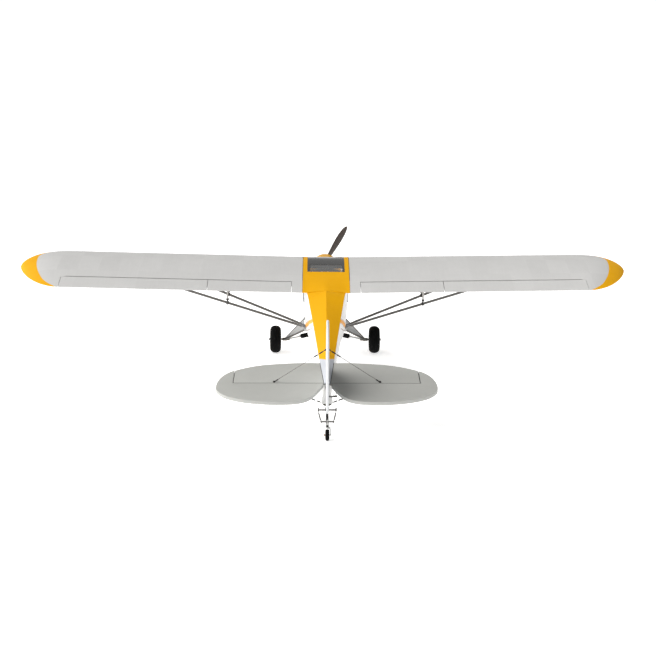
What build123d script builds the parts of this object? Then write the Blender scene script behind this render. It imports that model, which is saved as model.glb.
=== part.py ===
from build123d import *
import math
import os

os.makedirs("parts", exist_ok=True)

# ---------------------------------------------------------------- driving dimensions (mm, degrees)
# Aircraft frame: X to the right wing, Y forward, Z up, origin at the wing-root leading edge.
ATTITUDE = 7.5            # nose-up angle when standing on three wheels
HEIGHT = 357.85           # wing-root leading edge above the ground
LENGTH_SHIFT = 352.99     # puts the origin under the middle of the length
CHORD = 347.0
INCIDENCE = 1.0
DIHEDRAL = 1.1
CENTRE_HALF = 82.0        # half width of the centre section
HALF_SPAN = 1075.0
HINGE_Y = -284.0          # aileron and flap hinge line
FLAP_X = (120.0, 407.0)
AILERON_X = (408.5, 909.0)
GAP = 1.0
WALL = 7.0                # foam shell thickness
FIREWALL_Y = 93.0
TAIL_END_Y = -900.0
PROP_Y, PROP_Z, PROP_R = 283.0, -110.0, 174.0
PROP_LEAN = 29.0
WHEEL_X, WHEEL_Y, WHEEL_Z, TYRE_R, TYRE_W = 185.0, -31.1, -305.4, 51.0, 40.0
AXLE_R, FIT = 2.5, 0.05
STAB_Z, STAB_T, ELEV_HINGE_Y = -109.0, 10.0, -893.0
RUDDER_HINGE_Y, FIN_T = -905.0, 8.0
HORN = 16.0               # aileron and flap horn and servo arm radius
ELEV_HORN, RUD_HORN = 18.0, 27.0
TAILWHEEL_Y, TAILWHEEL_Z, TAILWHEEL_R, TAILWHEEL_W = -1033.6, -207.5, 17.2, 12.0
PIVOT_Y = -1018.0         # tail wheel steering axis
LEAF_Z = -183.5           # middle of the leaf spring at the steering axis

GROUND = Location((0, LENGTH_SHIFT, HEIGHT)) * Location((0, 0, 0), (ATTITUDE, 0, 0))
TILT = math.radians(ATTITUDE)
UP = (0, math.sin(TILT), math.cos(TILT))      # the ground's vertical, in the aircraft frame


def write(builder, name):
    """Stand the piece on its wheels and write it."""
    builder.part.move(GROUND)
    builder.part.label = name
    export_step(builder.part, f"parts/{name}.step")


def rod(a, b, r, mode=Mode.ADD):
    """A round bar from a to b in the open part."""
    a, b = Vector(a), Vector(b)
    d = b - a
    with Locations(Plane(origin=(a + b) * 0.5, z_dir=d)):
        Cylinder(r, d.length, mode=mode)


def block(x0, x1, y0, y1, z0, z1, mode=Mode.ADD):
    """A box between two corners in the open part."""
    with Locations(((x0 + x1) / 2, (y0 + y1) / 2, (z0 + z1) / 2)):
        Box(abs(x1 - x0), abs(y1 - y0), abs(z1 - z0), mode=mode)


def station(y):
    """Sketch plane across the fuselage at y: local x is X, local y is Z."""
    return Plane(origin=(0, y, 0), x_dir=(1, 0, 0), z_dir=(0, -1, 0))


def side(x):
    """Sketch plane along the aircraft at x: local x is Y, local y is Z."""
    return Plane(origin=(x, 0, 0), x_dir=(0, 1, 0), z_dir=(1, 0, 0))


def flat(z):
    """Sketch plane looking down at height z: local x is X, local y is Y."""
    return Plane(origin=(0, 0, z))


# ---------------------------------------------------------------- wing section
def thickness(s, t):
    return 5 * t * (0.2969 * math.sqrt(s) - 0.1260 * s - 0.3516 * s**2 + 0.2843 * s**3 - 0.0990 * s**4)


def camber(s):
    m, p = 0.034, 0.4
    return m / p**2 * (2 * p * s - s * s) if s < p else m / (1 - p) ** 2 * ((1 - 2 * p) + 2 * p * s - s * s)


def aerofoil(le, te, t_mm, z0, n=14):
    """Closed list of (y, z) points round one wing section."""
    c = le - te
    ss = [(1 - math.cos(math.pi * i / n)) / 2 for i in range(n + 1)]
    top = [(le - s * c, z0 + (le - s * c) * math.tan(math.radians(INCIDENCE)) + c * camber(s) + max(c * thickness(s, t_mm / c), 0.8 if s > 0.5 else 0)) for s in ss]
    bot = [(le - s * c, z0 + (le - s * c) * math.tan(math.radians(INCIDENCE)) + c * camber(s) - max(c * thickness(s, t_mm / c), 0.8 if s > 0.5 else 0)) for s in ss]
    return top + bot[:0:-1]


def wing_rise(x):
    return (abs(x) - CENTRE_HALF) * math.tan(math.radians(DIHEDRAL))


T_ROOT = 0.12 * CHORD
TIP = [(909, 0, -347), (935, -1, -344), (960, -4, -333), (985, -12, -313), (1008, -26, -284), (1028, -45, -256),
       (1045, -69, -228), (1058, -94, -206), (1068, -120, -187), (1075, -146, -168)]


def wing_sections(sign):
    out = [(CENTRE_HALF + 0.4, 0, -CHORD)] + TIP
    res = []
    for x, le, te in out:
        c = le - te
        res.append((sign * x, aerofoil(le, te, T_ROOT * (c / CHORD) ** 0.6, wing_rise(x))))
    return res


def top_z(y, x=0.0):
    s = -y / CHORD
    return y * math.tan(math.radians(INCIDENCE)) + CHORD * (camber(s) + thickness(s, 0.12)) + (wing_rise(x) if abs(x) > CENTRE_HALF else 0)


def bot_z(y, x=0.0):
    s = -y / CHORD
    return y * math.tan(math.radians(INCIDENCE)) + CHORD * (camber(s) - thickness(s, 0.12)) + (wing_rise(x) if abs(x) > CENTRE_HALF else 0)


def mid_z(y, x=0.0):
    return (top_z(y, x) + bot_z(y, x)) / 2


HINGE_R = (top_z(HINGE_Y) - bot_z(HINGE_Y)) / 2 - 0.2


# ---------------------------------------------------------------- fuselage stations
# y, ridge z, top edge z and half width, mid half width and z, lower half width and z, belly half width and z
FUSE = [
    (93, -58, -84, 52, 62, -120, 63, -205, 46, -238),
    (40, -30, -40, 66, 73, -110, 70, -205, 52, -238),
    (0, -2, -4, 79, 79, -95, 73, -205, 55, -238),
    (-150, -2, -4, 79, 79, -95, 73, -205, 55, -238),
    (-230, -1, -6, 77, 77, -95, 67, -203, 50, -232),
    (-347, 2, -14, 62, 64, -80, 52, -198, 40, -222),
    (-735, -91, -104, 21, 23, -130, 22, -172, 15, -186),
    (-900, -108, -120, 5, 9, -140, 11, -162, 7, -170),
]


def fuse_points(row, inset=0.0):
    y, zr, zt, wt, wm, zm, wl, zl, wb, zb = row
    i = inset
    right = [(0, zr - i), (wt - i, zt - i), (wm - i, zm), (wl - i, zl), (wb - 0.7 * i, zb + i), (0, zb + i)]
    left = [(-x, z) for x, z in right[-2:0:-1]]
    return right + left


# ================================================================ fuselage shells
with BuildPart() as wing_tool:          # the centre section's outer form, used to trim what meets it
    with BuildSketch(side(-90)):
        with BuildLine():
            Polyline(*aerofoil(0.6, -CHORD - 0.6, T_ROOT + 0.6, 0), close=True)
        make_face()
    extrude(amount=180)

with BuildPart() as hull:
    for row in FUSE:
        with BuildSketch(station(row[0])):
            with BuildLine():
                Polyline(*fuse_points(row), close=True)
            make_face()
    loft(ruled=True)

with BuildPart() as shell:
    add(hull.part)
    # equipment space from the firewall to the tail
    for row in FUSE[:-1]:
        with BuildSketch(station(row[0] + (1 if row is FUSE[0] else 0))):
            with BuildLine():
                Polyline(*fuse_points(row, WALL), close=True)
            make_face()
    loft(ruled=True, mode=Mode.SUBTRACT)
    # open cabin roof and windscreen opening
    block(-66, 66, -232, 94, -62, 40, Mode.SUBTRACT)
    with BuildSketch(side(-90)):
        with BuildLine():
            Polyline((95, -60), (95, 60), (0, 60), (-2, -6), close=True)
        make_face()
    extrude(amount=180, mode=Mode.SUBTRACT)
    add(wing_tool.part, mode=Mode.SUBTRACT)
    # side windows
    block(-90, 90, -95, 20, -92, -26, Mode.SUBTRACT)
    block(-90, 90, -212, -103, -92, -26, Mode.SUBTRACT)
    # belly hatch
    block(-42, 42, -8, 78, -250, -228, Mode.SUBTRACT)
    # flat rest pad under the cabin
    block(-44, 44, -147, -88, -239.5, -237)
    # elevator servo pocket on the left, rudder arm slot on the right
    block(-40, -6, -727, -693, -150, -121, Mode.SUBTRACT)
    block(4, 40, -742, -700, -147, -133, Mode.SUBTRACT)
    # stabiliser seat and joiner bore
    block(-30, 30, -890, -729, STAB_Z - STAB_T / 2 - 0.01, STAB_Z + STAB_T / 2 + 0.01, Mode.SUBTRACT)
    block(-30, 30, -902, -885, STAB_Z - 5.5, STAB_Z + 5.5, Mode.SUBTRACT)
    # fin slot
    block(-FIN_T / 2, FIN_T / 2, -901, -765, -118.0, -60, Mode.SUBTRACT)

with BuildPart() as fuselage_left:
    add(shell.part)
    split(bisect_by=Plane.YZ, keep=Keep.BOTTOM)
with BuildPart() as fuselage_right:
    add(shell.part)
    split(bisect_by=Plane.YZ, keep=Keep.TOP)

# ---------------------------------------------------------------- belly hatch
with BuildPart() as battery_hatch:
    block(-41.3, 41.3, -7.3, 77.3, -238, -233)
    block(-10, 10, 66, 74, -241, -238)

# ---------------------------------------------------------------- cowl
COWL = [(93.3, 126, 176, -147, 40), (170, 124, 166, -143, 44), (235, 110, 128, -126, 46), (262, 92, 100, -113, 42)]
with BuildPart() as cowl:
    for y, w, h, zc, r in COWL:
        with BuildSketch(Plane(origin=(0, y, zc), x_dir=(1, 0, 0), z_dir=(0, -1, 0))):
            RectangleRounded(w, h, r)
    loft(ruled=True)
    for y, w, h, zc, r in COWL[:-1] + [(256, 92, 100, -113, 42)]:
        with BuildSketch(Plane(origin=(0, y - (1 if y < 100 else 0), zc), x_dir=(1, 0, 0), z_dir=(0, -1, 0))):
            RectangleRounded(w - 8, h - 8, r - 4)
    loft(ruled=True, mode=Mode.SUBTRACT)
    with Locations(Plane(origin=(0, 258, PROP_Z), z_dir=(0, 1, 0))):
        Cylinder(14, 20, mode=Mode.SUBTRACT)
    for sx in (-1, 1):
        with Locations((sx * 29, 258, PROP_Z)):
            Box(18, 20, 40, mode=Mode.SUBTRACT)
    block(-30, 30, 130, 190, -240, -218, Mode.SUBTRACT)

# ---------------------------------------------------------------- motor
with BuildPart() as motor_mount:
    block(-46, 46, 86, 92.9, -200, -91)                      # plywood firewall
    block(-28, 28, 93, 190, -137, -83)                      # standoff box
    block(-23, 23, 92, 186, -132, -88, Mode.SUBTRACT)
    rod((0, 190, PROP_Z), (0, 234, PROP_Z), 19)
    rod((0, 185, PROP_Z), (0, 240, PROP_Z), 4.0 + FIT, Mode.SUBTRACT)

with BuildPart() as motor_rotor:
    rod((0, 196, PROP_Z), (0, 242, PROP_Z), 25)
    rod((0, 195, PROP_Z), (0, 236, PROP_Z), 22, Mode.SUBTRACT)
    rod((0, 190.5, PROP_Z), (0, 298, PROP_Z), 4)
    rod((0, 268, PROP_Z), (0, 274.9, PROP_Z), 11)

with BuildPart() as propeller:
    rod((0, 275, PROP_Z), (0, 291, PROP_Z), 13)
    lean = math.radians(PROP_LEAN)
    for flip in (1, -1):
        d = Vector(flip * math.sin(lean), 0, flip * math.cos(lean))
        for r, chord, th, pitch in ((8, 17, 11, 50), (33, 24, 8.5, 38), (75, 30, 5.5, 25), (120, 27, 4, 17), (157, 18, 3, 13), (PROP_R, 7, 2, 12)):
            a = math.radians(pitch)
            t = Vector(flip * math.cos(lean), 0, -flip * math.sin(lean))
            xd = t * math.cos(a) + Vector(0, 1, 0) * math.sin(a)
            with BuildSketch(Plane(origin=Vector(0, PROP_Y, PROP_Z) + d * r, x_dir=xd, z_dir=d)):
                Ellipse(chord / 2, th / 2)
        loft()
    rod((0, 270, PROP_Z), (0, 300, PROP_Z), 4.0, Mode.SUBTRACT)
    rod((0, 291, PROP_Z), (0, 297.5, PROP_Z), 8)
    rod((0, 270, PROP_Z), (0, 300, PROP_Z), 4.0, Mode.SUBTRACT)

# ---------------------------------------------------------------- power and radio
with BuildPart() as battery:
    with Locations((0, 28, -206)):
        Box(46, 78, 40)
with BuildPart() as radio_gear:
    with Locations((0, 140, -94)):
        Box(34, 60, 12)                                      # speed controller on the motor box
    with Locations((0, -112, -223.9)):
        Box(30, 46, 13.9)                                    # receiver on the cabin floor

# ---------------------------------------------------------------- cabin
with BuildPart() as instrument_panel:
    with BuildSketch(station(34)):
        with BuildLine():
            Polyline((-58, -135), (-58, -66), (-44, -54), (-20, -47), (0, -45.5), (20, -47), (44, -54), (58, -66), (58, -135), close=True)
        make_face()
    extrude(amount=5)
    block(-25, 25, 29, 34, -150, -134)
with BuildPart() as windshield:
    with BuildSketch(side(-66)):
        with BuildLine():
            Polyline((92.5, -60), (0.5, -7.5), (0.5, -5.7), (93, -58.2), close=True)
        make_face()
    extrude(amount=132)
with BuildPart() as side_windows:
    for sx in (-1, 1):
        block(sx * 73, sx * 74.5, -94.9, 19.9, -91.9, -26.1)
        block(sx * 71, sx * 72.5, -211.9, -103.1, -91.9, -26.1)

# ---------------------------------------------------------------- wing
with BuildPart() as wing_centre:
    with BuildSketch(side(-CENTRE_HALF)):
        with BuildLine():
            Polyline(*aerofoil(0, -CHORD, T_ROOT, 0), close=True)
        make_face()
    extrude(amount=2 * CENTRE_HALF)
    block(-74, 74, -232, -50, -40, 15, Mode.SUBTRACT)
    block(-66, 66, -225, -57, -40, 60, Mode.SUBTRACT)
    rod((-90, -92, 4), (90, -92, 4), 8, Mode.SUBTRACT)

with BuildPart() as skylight:
    pts = [(y, top_z(y)) for y in (-57.2, -80, -105, -130, -155, -180, -205, -224.8)]
    with BuildSketch(side(-65.8)):
        with BuildLine():
            Polyline(*(pts + [(y, z - 1.6) for y, z in reversed(pts)]), close=True)
        make_face()
    extrude(amount=131.6)

with BuildPart() as spar_tube:
    rod((-420, -92, 4), (420, -92, 4), 7.9)
    rod((-430, -92, 4), (430, -92, 4), 6.6, Mode.SUBTRACT)

SERVO_X = {"aileron": 560.0, "flap": 262.0}
SERVO_Y = -214.0


def servo_axis(x):
    """Height of the servo shaft under the wing at x, parallel with the hinge above the horn."""
    return mid_z(HINGE_Y, x)


wings = {}
for name, sign in (("left", -1), ("right", 1)):
    with BuildPart() as wing:
        for x, pts in wing_sections(sign):
            with BuildSketch(side(x)):
                with BuildLine():
                    Polyline(*pts, close=True)
                make_face()
        loft(ruled=True)
        for x0, x1 in (FLAP_X, AILERON_X):
            block(sign * (x0 - GAP), sign * (x1 + GAP), HINGE_Y + HINGE_R + 0.9, -360, -40, 60, Mode.SUBTRACT)
        rod((sign * 80, -92, 4), (sign * 421, -92, 4), 8.6, Mode.SUBTRACT)
        for key, x in SERVO_X.items():
            block(sign * (x - 18), sign * (x + 12), SERVO_Y - 20, SERVO_Y + 24, -40, servo_axis(x) + 9, Mode.SUBTRACT)
            block(sign * (x - 3), sign * (x + 3), HINGE_Y, HINGE_Y + HINGE_R + 7, -40, servo_axis(x) - 1, Mode.SUBTRACT)
    wings[name] = wing

surfaces = {}
for name, sign in (("left", -1), ("right", 1)):
    for kind, (x0, x1) in (("flap", FLAP_X), ("aileron", AILERON_X)):
        with BuildPart() as surf:
            for x in (x0, x1):
                pts = aerofoil(0, -CHORD, T_ROOT, wing_rise(x), 40)
                aft = [(y, z) for y, z in pts if y < HINGE_Y - 0.5]
                zh = mid_z(HINGE_Y, x)
                nose = [(HINGE_Y + HINGE_R * math.cos(a), zh + HINGE_R * math.sin(a)) for a in [math.radians(k) for k in range(-90, 91, 15)]]
                with BuildSketch(side(sign * x)):
                    with BuildLine():
                        Polyline(*(aft + nose), close=True)
                    make_face()
            loft(ruled=True)
            hx = SERVO_X[kind]
            zh = mid_z(HINGE_Y, hx)
            with BuildSketch(side(sign * hx - 1.2)):
                with BuildLine():
                    Polyline((HINGE_Y + 4, zh - 2), (HINGE_Y - 18, zh - 2), (HINGE_Y - 4, zh - HORN - 3), (HINGE_Y + 4, zh - HORN - 3), close=True)
                make_face()
            extrude(amount=2.4)
            rod((sign * hx - 5, HINGE_Y, zh - HORN), (sign * hx + 5, HINGE_Y, zh - HORN), 1.05, Mode.SUBTRACT)
        surfaces[kind + "_" + name] = surf

# ---------------------------------------------------------------- struts
STRUT_R = 4.2
with BuildPart() as struts_front:
    for s in (-1, 1):
        rod((s * 74, -92, -226), (s * 612, -75, bot_z(-75, 612) + 1), STRUT_R)
    add(hull.part, mode=Mode.SUBTRACT)
    for w in wings.values():
        add(w.part, mode=Mode.SUBTRACT)
with BuildPart() as struts_rear:
    for s in (-1, 1):
        rod((s * 74, -108, -226), (s * 655, -200, bot_z(-200, 655) + 1), STRUT_R)
    add(hull.part, mode=Mode.SUBTRACT)
    for w in wings.values():
        add(w.part, mode=Mode.SUBTRACT)


def on_line(a, b, x):
    t = (x - a[0]) / (b[0] - a[0])
    return tuple(a[i] + t * (b[i] - a[i]) for i in range(3))


JURY_X = 352.0
jf = on_line((74, -92, -226), (612, -75, bot_z(-75, 612) + 1), JURY_X)
jr = on_line((74, -108, -226), (655, -200, bot_z(-200, 655) + 1), JURY_X)
with BuildPart() as jury_struts:
    for s in (-1, 1):
        for p in (jf, jr):
            rod((s * JURY_X, p[1], p[2] + STRUT_R - 1), (s * JURY_X, p[1], bot_z(p[1], JURY_X) + 2), 2.2)
    add(struts_front.part, mode=Mode.SUBTRACT)
    add(struts_rear.part, mode=Mode.SUBTRACT)
    for w in wings.values():
        add(w.part, mode=Mode.SUBTRACT)

# ---------------------------------------------------------------- tail surfaces
OUTER = [(23, -730), (69, -729), (132, -735), (210, -751), (271, -781), (306, -812), (328, -855), (336, -912)]
TRAIL = [(331, -943), (305, -979), (258, -1005.6), (199, -1020.7), (140, -1025), (96, -1020), (58, -1003), (35, -967), (20, -920), (12.5, -897.5)]
with BuildPart() as stabilizer:
    with BuildSketch(flat(STAB_Z - STAB_T / 2)):
        with BuildLine():
            right = [(20, -729.5)] + [p for p in OUTER if p[0] < 285][1:] + [(285, -791), (285, -886.8)]
            Polyline(*(right + [(-x, y) for x, y in reversed(right)]), close=True)
        make_face()
    extrude(amount=STAB_T)
    block(-FIN_T / 2, FIN_T / 2, -901, -765, -118, -60, Mode.SUBTRACT)

elevators = {}
for name, sign in (("left", -1), ("right", 1)):
    with BuildPart() as elev:
        with BuildSketch(flat(STAB_Z - STAB_T / 2)):
            with BuildLine():
                pts = [(12.5, ELEV_HINGE_Y), (287, ELEV_HINGE_Y), (287, -793.5)] + [p for p in OUTER if p[0] > 287] + TRAIL
                Polyline(*[(sign * x, y) for x, y in pts], close=True)
            make_face()
        extrude(amount=STAB_T)
        rod((sign * 12.5, ELEV_HINGE_Y, STAB_Z), (sign * 286.9, ELEV_HINGE_Y, STAB_Z), STAB_T / 2)
        rod((sign * 5, ELEV_HINGE_Y, STAB_Z), (sign * 48, ELEV_HINGE_Y, STAB_Z), 2.6, Mode.SUBTRACT)
        if sign < 0:                                         # elevator horn
            block(-29, -27, ELEV_HINGE_Y - 6, ELEV_HINGE_Y + 2.2, STAB_Z - ELEV_HORN - 3, STAB_Z - 4)
            rod((-31, ELEV_HINGE_Y, STAB_Z - ELEV_HORN), (-25, ELEV_HINGE_Y, STAB_Z - ELEV_HORN), 1.05, Mode.SUBTRACT)
    elevators[name] = elev
with BuildPart() as elevator_joiner:
    rod((-48, ELEV_HINGE_Y, STAB_Z), (48, ELEV_HINGE_Y, STAB_Z), 2.6)

FIN = [(-899.5, -117.9), (-899.5, 60), (-892, 61), (-878, 52), (-858, 30), (-832, -14), (-806, -60), (-786, -88), (-766, -99), (-766, -117.9)]
with BuildPart() as fin:
    with BuildSketch(side(-FIN_T / 2 + 0.01)):
        with BuildLine():
            Polyline(*FIN, close=True)
        make_face()
    extrude(amount=FIN_T - 0.02)
    block(-10, 10, -902, -885, STAB_Z - 5.5, STAB_Z + 5.5, Mode.SUBTRACT)

RUDDER = [(RUDDER_HINGE_Y, -169), (RUDDER_HINGE_Y, 62.5), (-880, 62.5), (-872, 68), (-885, 77), (-910, 81), (-945, 78), (-985, 60), (-1015, 25), (-1034, -25),
          (-1040, -72), (-1031, -118), (-1009, -148), (-980, -163), (-958, -169.5), (-930, -171.5)]
with BuildPart() as rudder:
    with BuildSketch(side(-FIN_T / 2)):
        with BuildLine():
            Polyline(*RUDDER, close=True)
        make_face()
    extrude(amount=FIN_T)
    rod((0, RUDDER_HINGE_Y, -169), (0, RUDDER_HINGE_Y, 62.5), FIN_T / 2)
    # steering tiller bar low on the rudder, and the rudder horn on the right
    block(-29, 29, -948, -942, -169, -165)
    block(3, 18, RUDDER_HINGE_Y - 5, RUDDER_HINGE_Y, -141.2, -138.8)
    block(15, RUD_HORN + 4, RUDDER_HINGE_Y - 5, RUDDER_HINGE_Y + 4, -141.2, -138.8)
    rod((RUD_HORN, RUDDER_HINGE_Y, -145), (RUD_HORN, RUDDER_HINGE_Y, -135), 1.05, Mode.SUBTRACT)
    for s in (-1, 1):
        rod((s * 27, -945, -172), (s * 27, -945, -160), 0.9, Mode.SUBTRACT)

with BuildPart() as brace_wires:
    for s in (-1, 1):
        top, outer, low = (s * FIN_T / 2, -880, 4), (s * 162, -880, STAB_Z), (s * 12, -880, -165)
        rod(top, outer, 0.9)
        rod(on_line(top, outer, s * 14), on_line(top, outer, s * 46), 1.8)
        rod(outer, low, 0.9)
        rod(on_line(outer, low, s * 52), on_line(outer, low, s * 24), 1.8)
        rod((s * 162, -880, STAB_Z - 8), (s * 162, -880, STAB_Z + 8), 3)
    add(stabilizer.part, mode=Mode.SUBTRACT)
    add(hull.part, mode=Mode.SUBTRACT)
    add(fin.part, mode=Mode.SUBTRACT)

# ---------------------------------------------------------------- tail wheel
def on_pivot(h):
    """Point on the steering axis, h above the leaf spring's middle."""
    return (0, PIVOT_Y + h * UP[1], LEAF_Z + h * UP[2])


with BuildPart() as leaf_spring:        # clamped under the tail, bored along the steering axis
    with BuildSketch(side(-4)):
        with BuildLine():
            Polyline((-820, -180), (-905, -175.5), (-960, -178.5), (-1026, -182), (-1026, -185), (-960, -181.5), (-905, -178.5), (-820, -184), close=True)
        make_face()
    extrude(amount=8)
    add(hull.part, mode=Mode.SUBTRACT)
    rod(on_pivot(-20), on_pivot(20), 2.0 + FIT, Mode.SUBTRACT)

with BuildPart() as tail_fork:
    rod(on_pivot(-8), on_pivot(13), 2.0)
    rod(on_pivot(3.3), on_pivot(5.0), 4.0)
    with Locations(Plane(origin=on_pivot(12), z_dir=UP, x_dir=(1, 0, 0))):
        Box(40, 5, 3)
    with Locations(Plane(origin=on_pivot(-5.6), z_dir=UP, x_dir=(1, 0, 0))):
        Box(8, 8, 5)
    # one-sided cheek on the right, reaching round the tyre to the axle
    with BuildSketch(side(7.6)):
        with BuildLine():
            Polyline((PIVOT_Y - 4, -186.8), (PIVOT_Y + 3.5, -186.8), (PIVOT_Y - 5, -200), (-1028, -212), (-1037, -213), (-1039, -205), (-1031, -200), close=True)
        make_face()
    extrude(amount=2)
    with Locations(Plane(origin=on_pivot(-5.5), z_dir=UP, x_dir=(1, 0, 0))):
        with Locations((4.7, 0, 0)):
            Box(9.6, 6, 3)
    rod((-10, TAILWHEEL_Y, TAILWHEEL_Z), (9, TAILWHEEL_Y, TAILWHEEL_Z), 1.5)
    rod((-10, TAILWHEEL_Y, TAILWHEEL_Z), (-6.6, TAILWHEEL_Y, TAILWHEEL_Z), 3)

with BuildPart() as tail_wheel:
    with BuildSketch(Plane(origin=(0, TAILWHEEL_Y, TAILWHEEL_Z), x_dir=(1, 0, 0), z_dir=(0, 0, 1))):
        with BuildLine():
            w, r = TAILWHEEL_W / 2, TAILWHEEL_R
            Polyline((-w, 1.5 + FIT), (-w, r - 5), (-w + 1.5, r - 2), (-w + 4, r), (w - 4, r), (w - 1.5, r - 2), (w, r - 5), (w, 1.5 + FIT), close=True)
        make_face()
    revolve(axis=Axis((0, TAILWHEEL_Y, TAILWHEEL_Z), (1, 0, 0)))

springs = {}
for name, s in (("left", -1), ("right", 1)):
    with BuildPart() as spring:
        rod((s * 27, -947.2, -172.8), (s * 19.5, -1008, -178.2), 1.6)
        rod((s * 27, -945.5, -173.6), (s * 27, -945, -160.8), 0.6)
        rod((s * 19.5, -1007, -178.2), (s * 18, -1016, -175.0), 0.7)
    springs[name] = spring

# ---------------------------------------------------------------- main undercarriage
LEG_FRONT, LEG_REAR = (74.0, 40.0, -246.0), (74.0, -100.0, -240.0)
APEX = (150.0, WHEEL_Y, WHEEL_Z)
leg_dir = Vector(*LEG_FRONT) - Vector(*LEG_REAR)
SHOCK_IN = (15.0, -40.0, -272.0)
SHOCK_OUT = (136.0, WHEEL_Y, -304.0)


def mir(p, s):
    return (s * p[0], p[1], p[2])


def along(p, d, h):
    d = d.normalized()
    return (p[0] + d.X * h, p[1] + d.Y * h, p[2] + d.Z * h)


legs, hubs, tyres, sleeves, rods_ = {}, {}, {}, {}, {}
for name, s in (("left", -1), ("right", 1)):
    f, r, a = mir(LEG_FRONT, s), mir(LEG_REAR, s), mir(APEX, s)
    so, si = mir(SHOCK_OUT, s), mir(SHOCK_IN, s)
    with BuildPart() as leg:
        rod(f, a, 3.5)
        rod(r, a, 3.5)
        for p in (f, r):
            rod(along(p, leg_dir, -7), along(p, leg_dir, 7), 5)
            rod(along(p, leg_dir, -8), along(p, leg_dir, 8), 2 + FIT, Mode.SUBTRACT)
        # thin cuff fairing between the tubes
        with BuildSketch(Plane(origin=f, x_dir=Vector(*r) - Vector(*f), z_dir=(Vector(*r) - Vector(*f)).cross(Vector(*a) - Vector(*f)))) as cuff:
            with BuildLine():
                pl = Plane(origin=f, x_dir=Vector(*r) - Vector(*f), z_dir=(Vector(*r) - Vector(*f)).cross(Vector(*a) - Vector(*f)))
                L, A = pl.to_local_coords(Vector(*r)), pl.to_local_coords(Vector(*a))
                Polyline((16, 9), (L.X - 16, 9), (A.X, A.Y), close=True)
            make_face()
        extrude(amount=0.9, both=True)
        rod(mir((146, WHEEL_Y, WHEEL_Z), s), mir((208, WHEEL_Y, WHEEL_Z), s), AXLE_R)
        rod(mir((143, WHEEL_Y, WHEEL_Z), s), mir((160, WHEEL_Y, WHEEL_Z), s), 5)
        rod(mir((207, WHEEL_Y, WHEEL_Z), s), mir((210, WHEEL_Y, WHEEL_Z), s), 4.5)
        rod((so[0], so[1] - 5, so[2]), (so[0], so[1] + 5, so[2]), 1.8)
        for h in (-5, 5):                                    # clevis round the shock strut's eye
            block(s * 132, s * 147, WHEEL_Y + h - 0.8, WHEEL_Y + h + 0.8, -308, -300)
    legs[name] = leg
    ax = Plane(origin=(s * WHEEL_X, WHEEL_Y, WHEEL_Z), x_dir=(1, 0, 0), z_dir=(0, 0, 1))
    with BuildPart() as hub:
        with BuildSketch(ax):
            with BuildLine():
                Polyline((-15, AXLE_R + FIT), (-15, 9), (-9, 12), (-9, 25.95), (9, 25.95), (9, 12), (15, 9), (15, AXLE_R + FIT), close=True)
            make_face()
        revolve(axis=Axis((0, WHEEL_Y, WHEEL_Z), (1, 0, 0)))
    hubs[name] = hub
    with BuildPart() as tyre:
        with BuildSketch(ax):
            with BuildLine():
                w = TYRE_W / 2
                Polyline((-9.5, 26), (-16, 27), (-19, 31), (-w, 37), (-19, 43), (-15.5, 47.8), (-9, 50.4), (0, TYRE_R), (9, 50.4), (15.5, 47.8), (19, 43), (w, 37), (19, 31), (16, 27), (9.5, 26), close=True)
            make_face()
        revolve(axis=Axis((0, WHEEL_Y, WHEEL_Z), (1, 0, 0)))
    tyres[name] = tyre
    sd = Vector(*so) - Vector(*si)
    n = sd.length
    with BuildPart() as sleeve:
        rod(along(si, sd, 6), along(si, sd, n - 46), 7.5)
        rod(along(si, sd, 12), along(si, sd, n - 40), 3 + FIT, Mode.SUBTRACT)
        rod((si[0], si[1] - 5, si[2]), (si[0], si[1] + 5, si[2]), 4.5)
        rod(along(si, sd, 0), along(si, sd, 8), 3)
        rod((si[0], si[1] - 8, si[2]), (si[0], si[1] + 8, si[2]), 2 + FIT, Mode.SUBTRACT)
    sleeves[name] = sleeve
    with BuildPart() as prod:
        rod(along(si, sd, 30), along(si, sd, n), 3)
        rod((so[0], so[1] - 3, so[2]), (so[0], so[1] + 3, so[2]), 4.8)
        rod((so[0], so[1] - 8, so[2]), (so[0], so[1] + 8, so[2]), 3.0, Mode.SUBTRACT)
    rods_[name] = prod

with BuildPart() as gear_cabane:
    for s in (-1, 1):
        si = mir(SHOCK_IN, s)
        rod((s * 46, -8, -236), (s * 15, -30.5, -270), 2.5)
        rod((s * 46, -76, -236), (s * 15, -49.5, -270), 2.5)
        rod((si[0], si[1] - 9.5, si[2]), (si[0], si[1] + 9.5, si[2]), 2.0)
        for p in (mir(LEG_FRONT, s), mir(LEG_REAR, s)):
            rod(along(p, leg_dir, -10), along(p, leg_dir, 10), 2.0)
            for h in (-9.2, 9.2):
                q = along(p, leg_dir, h)
                block(s * 54, s * 77.3, q[1] - 1, q[1] + 1, q[2] - 3, -231.5)
    for y in (-50.5, -29.5):
        block(-21, 21, y - 1, y + 1, -277, -267)
    add(hull.part, mode=Mode.SUBTRACT)

# ---------------------------------------------------------------- servos, arms and pushrods
with BuildPart() as servos:
    for s in (-1, 1):
        for key, x in SERVO_X.items():
            z = servo_axis(x)
            block(s * (x - 17), s * (x - 5), SERVO_Y - 8, SERVO_Y + 15, z - 9, z + 8.5)
    block(-19, -7, -722, -699, STAB_Z - 10 - 12, STAB_Z - 10 - 30)
    block(-12, 12, -735, -712, -166, -150)
    rod((0, -728, -150), (0, -728, -143), 3)

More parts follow.
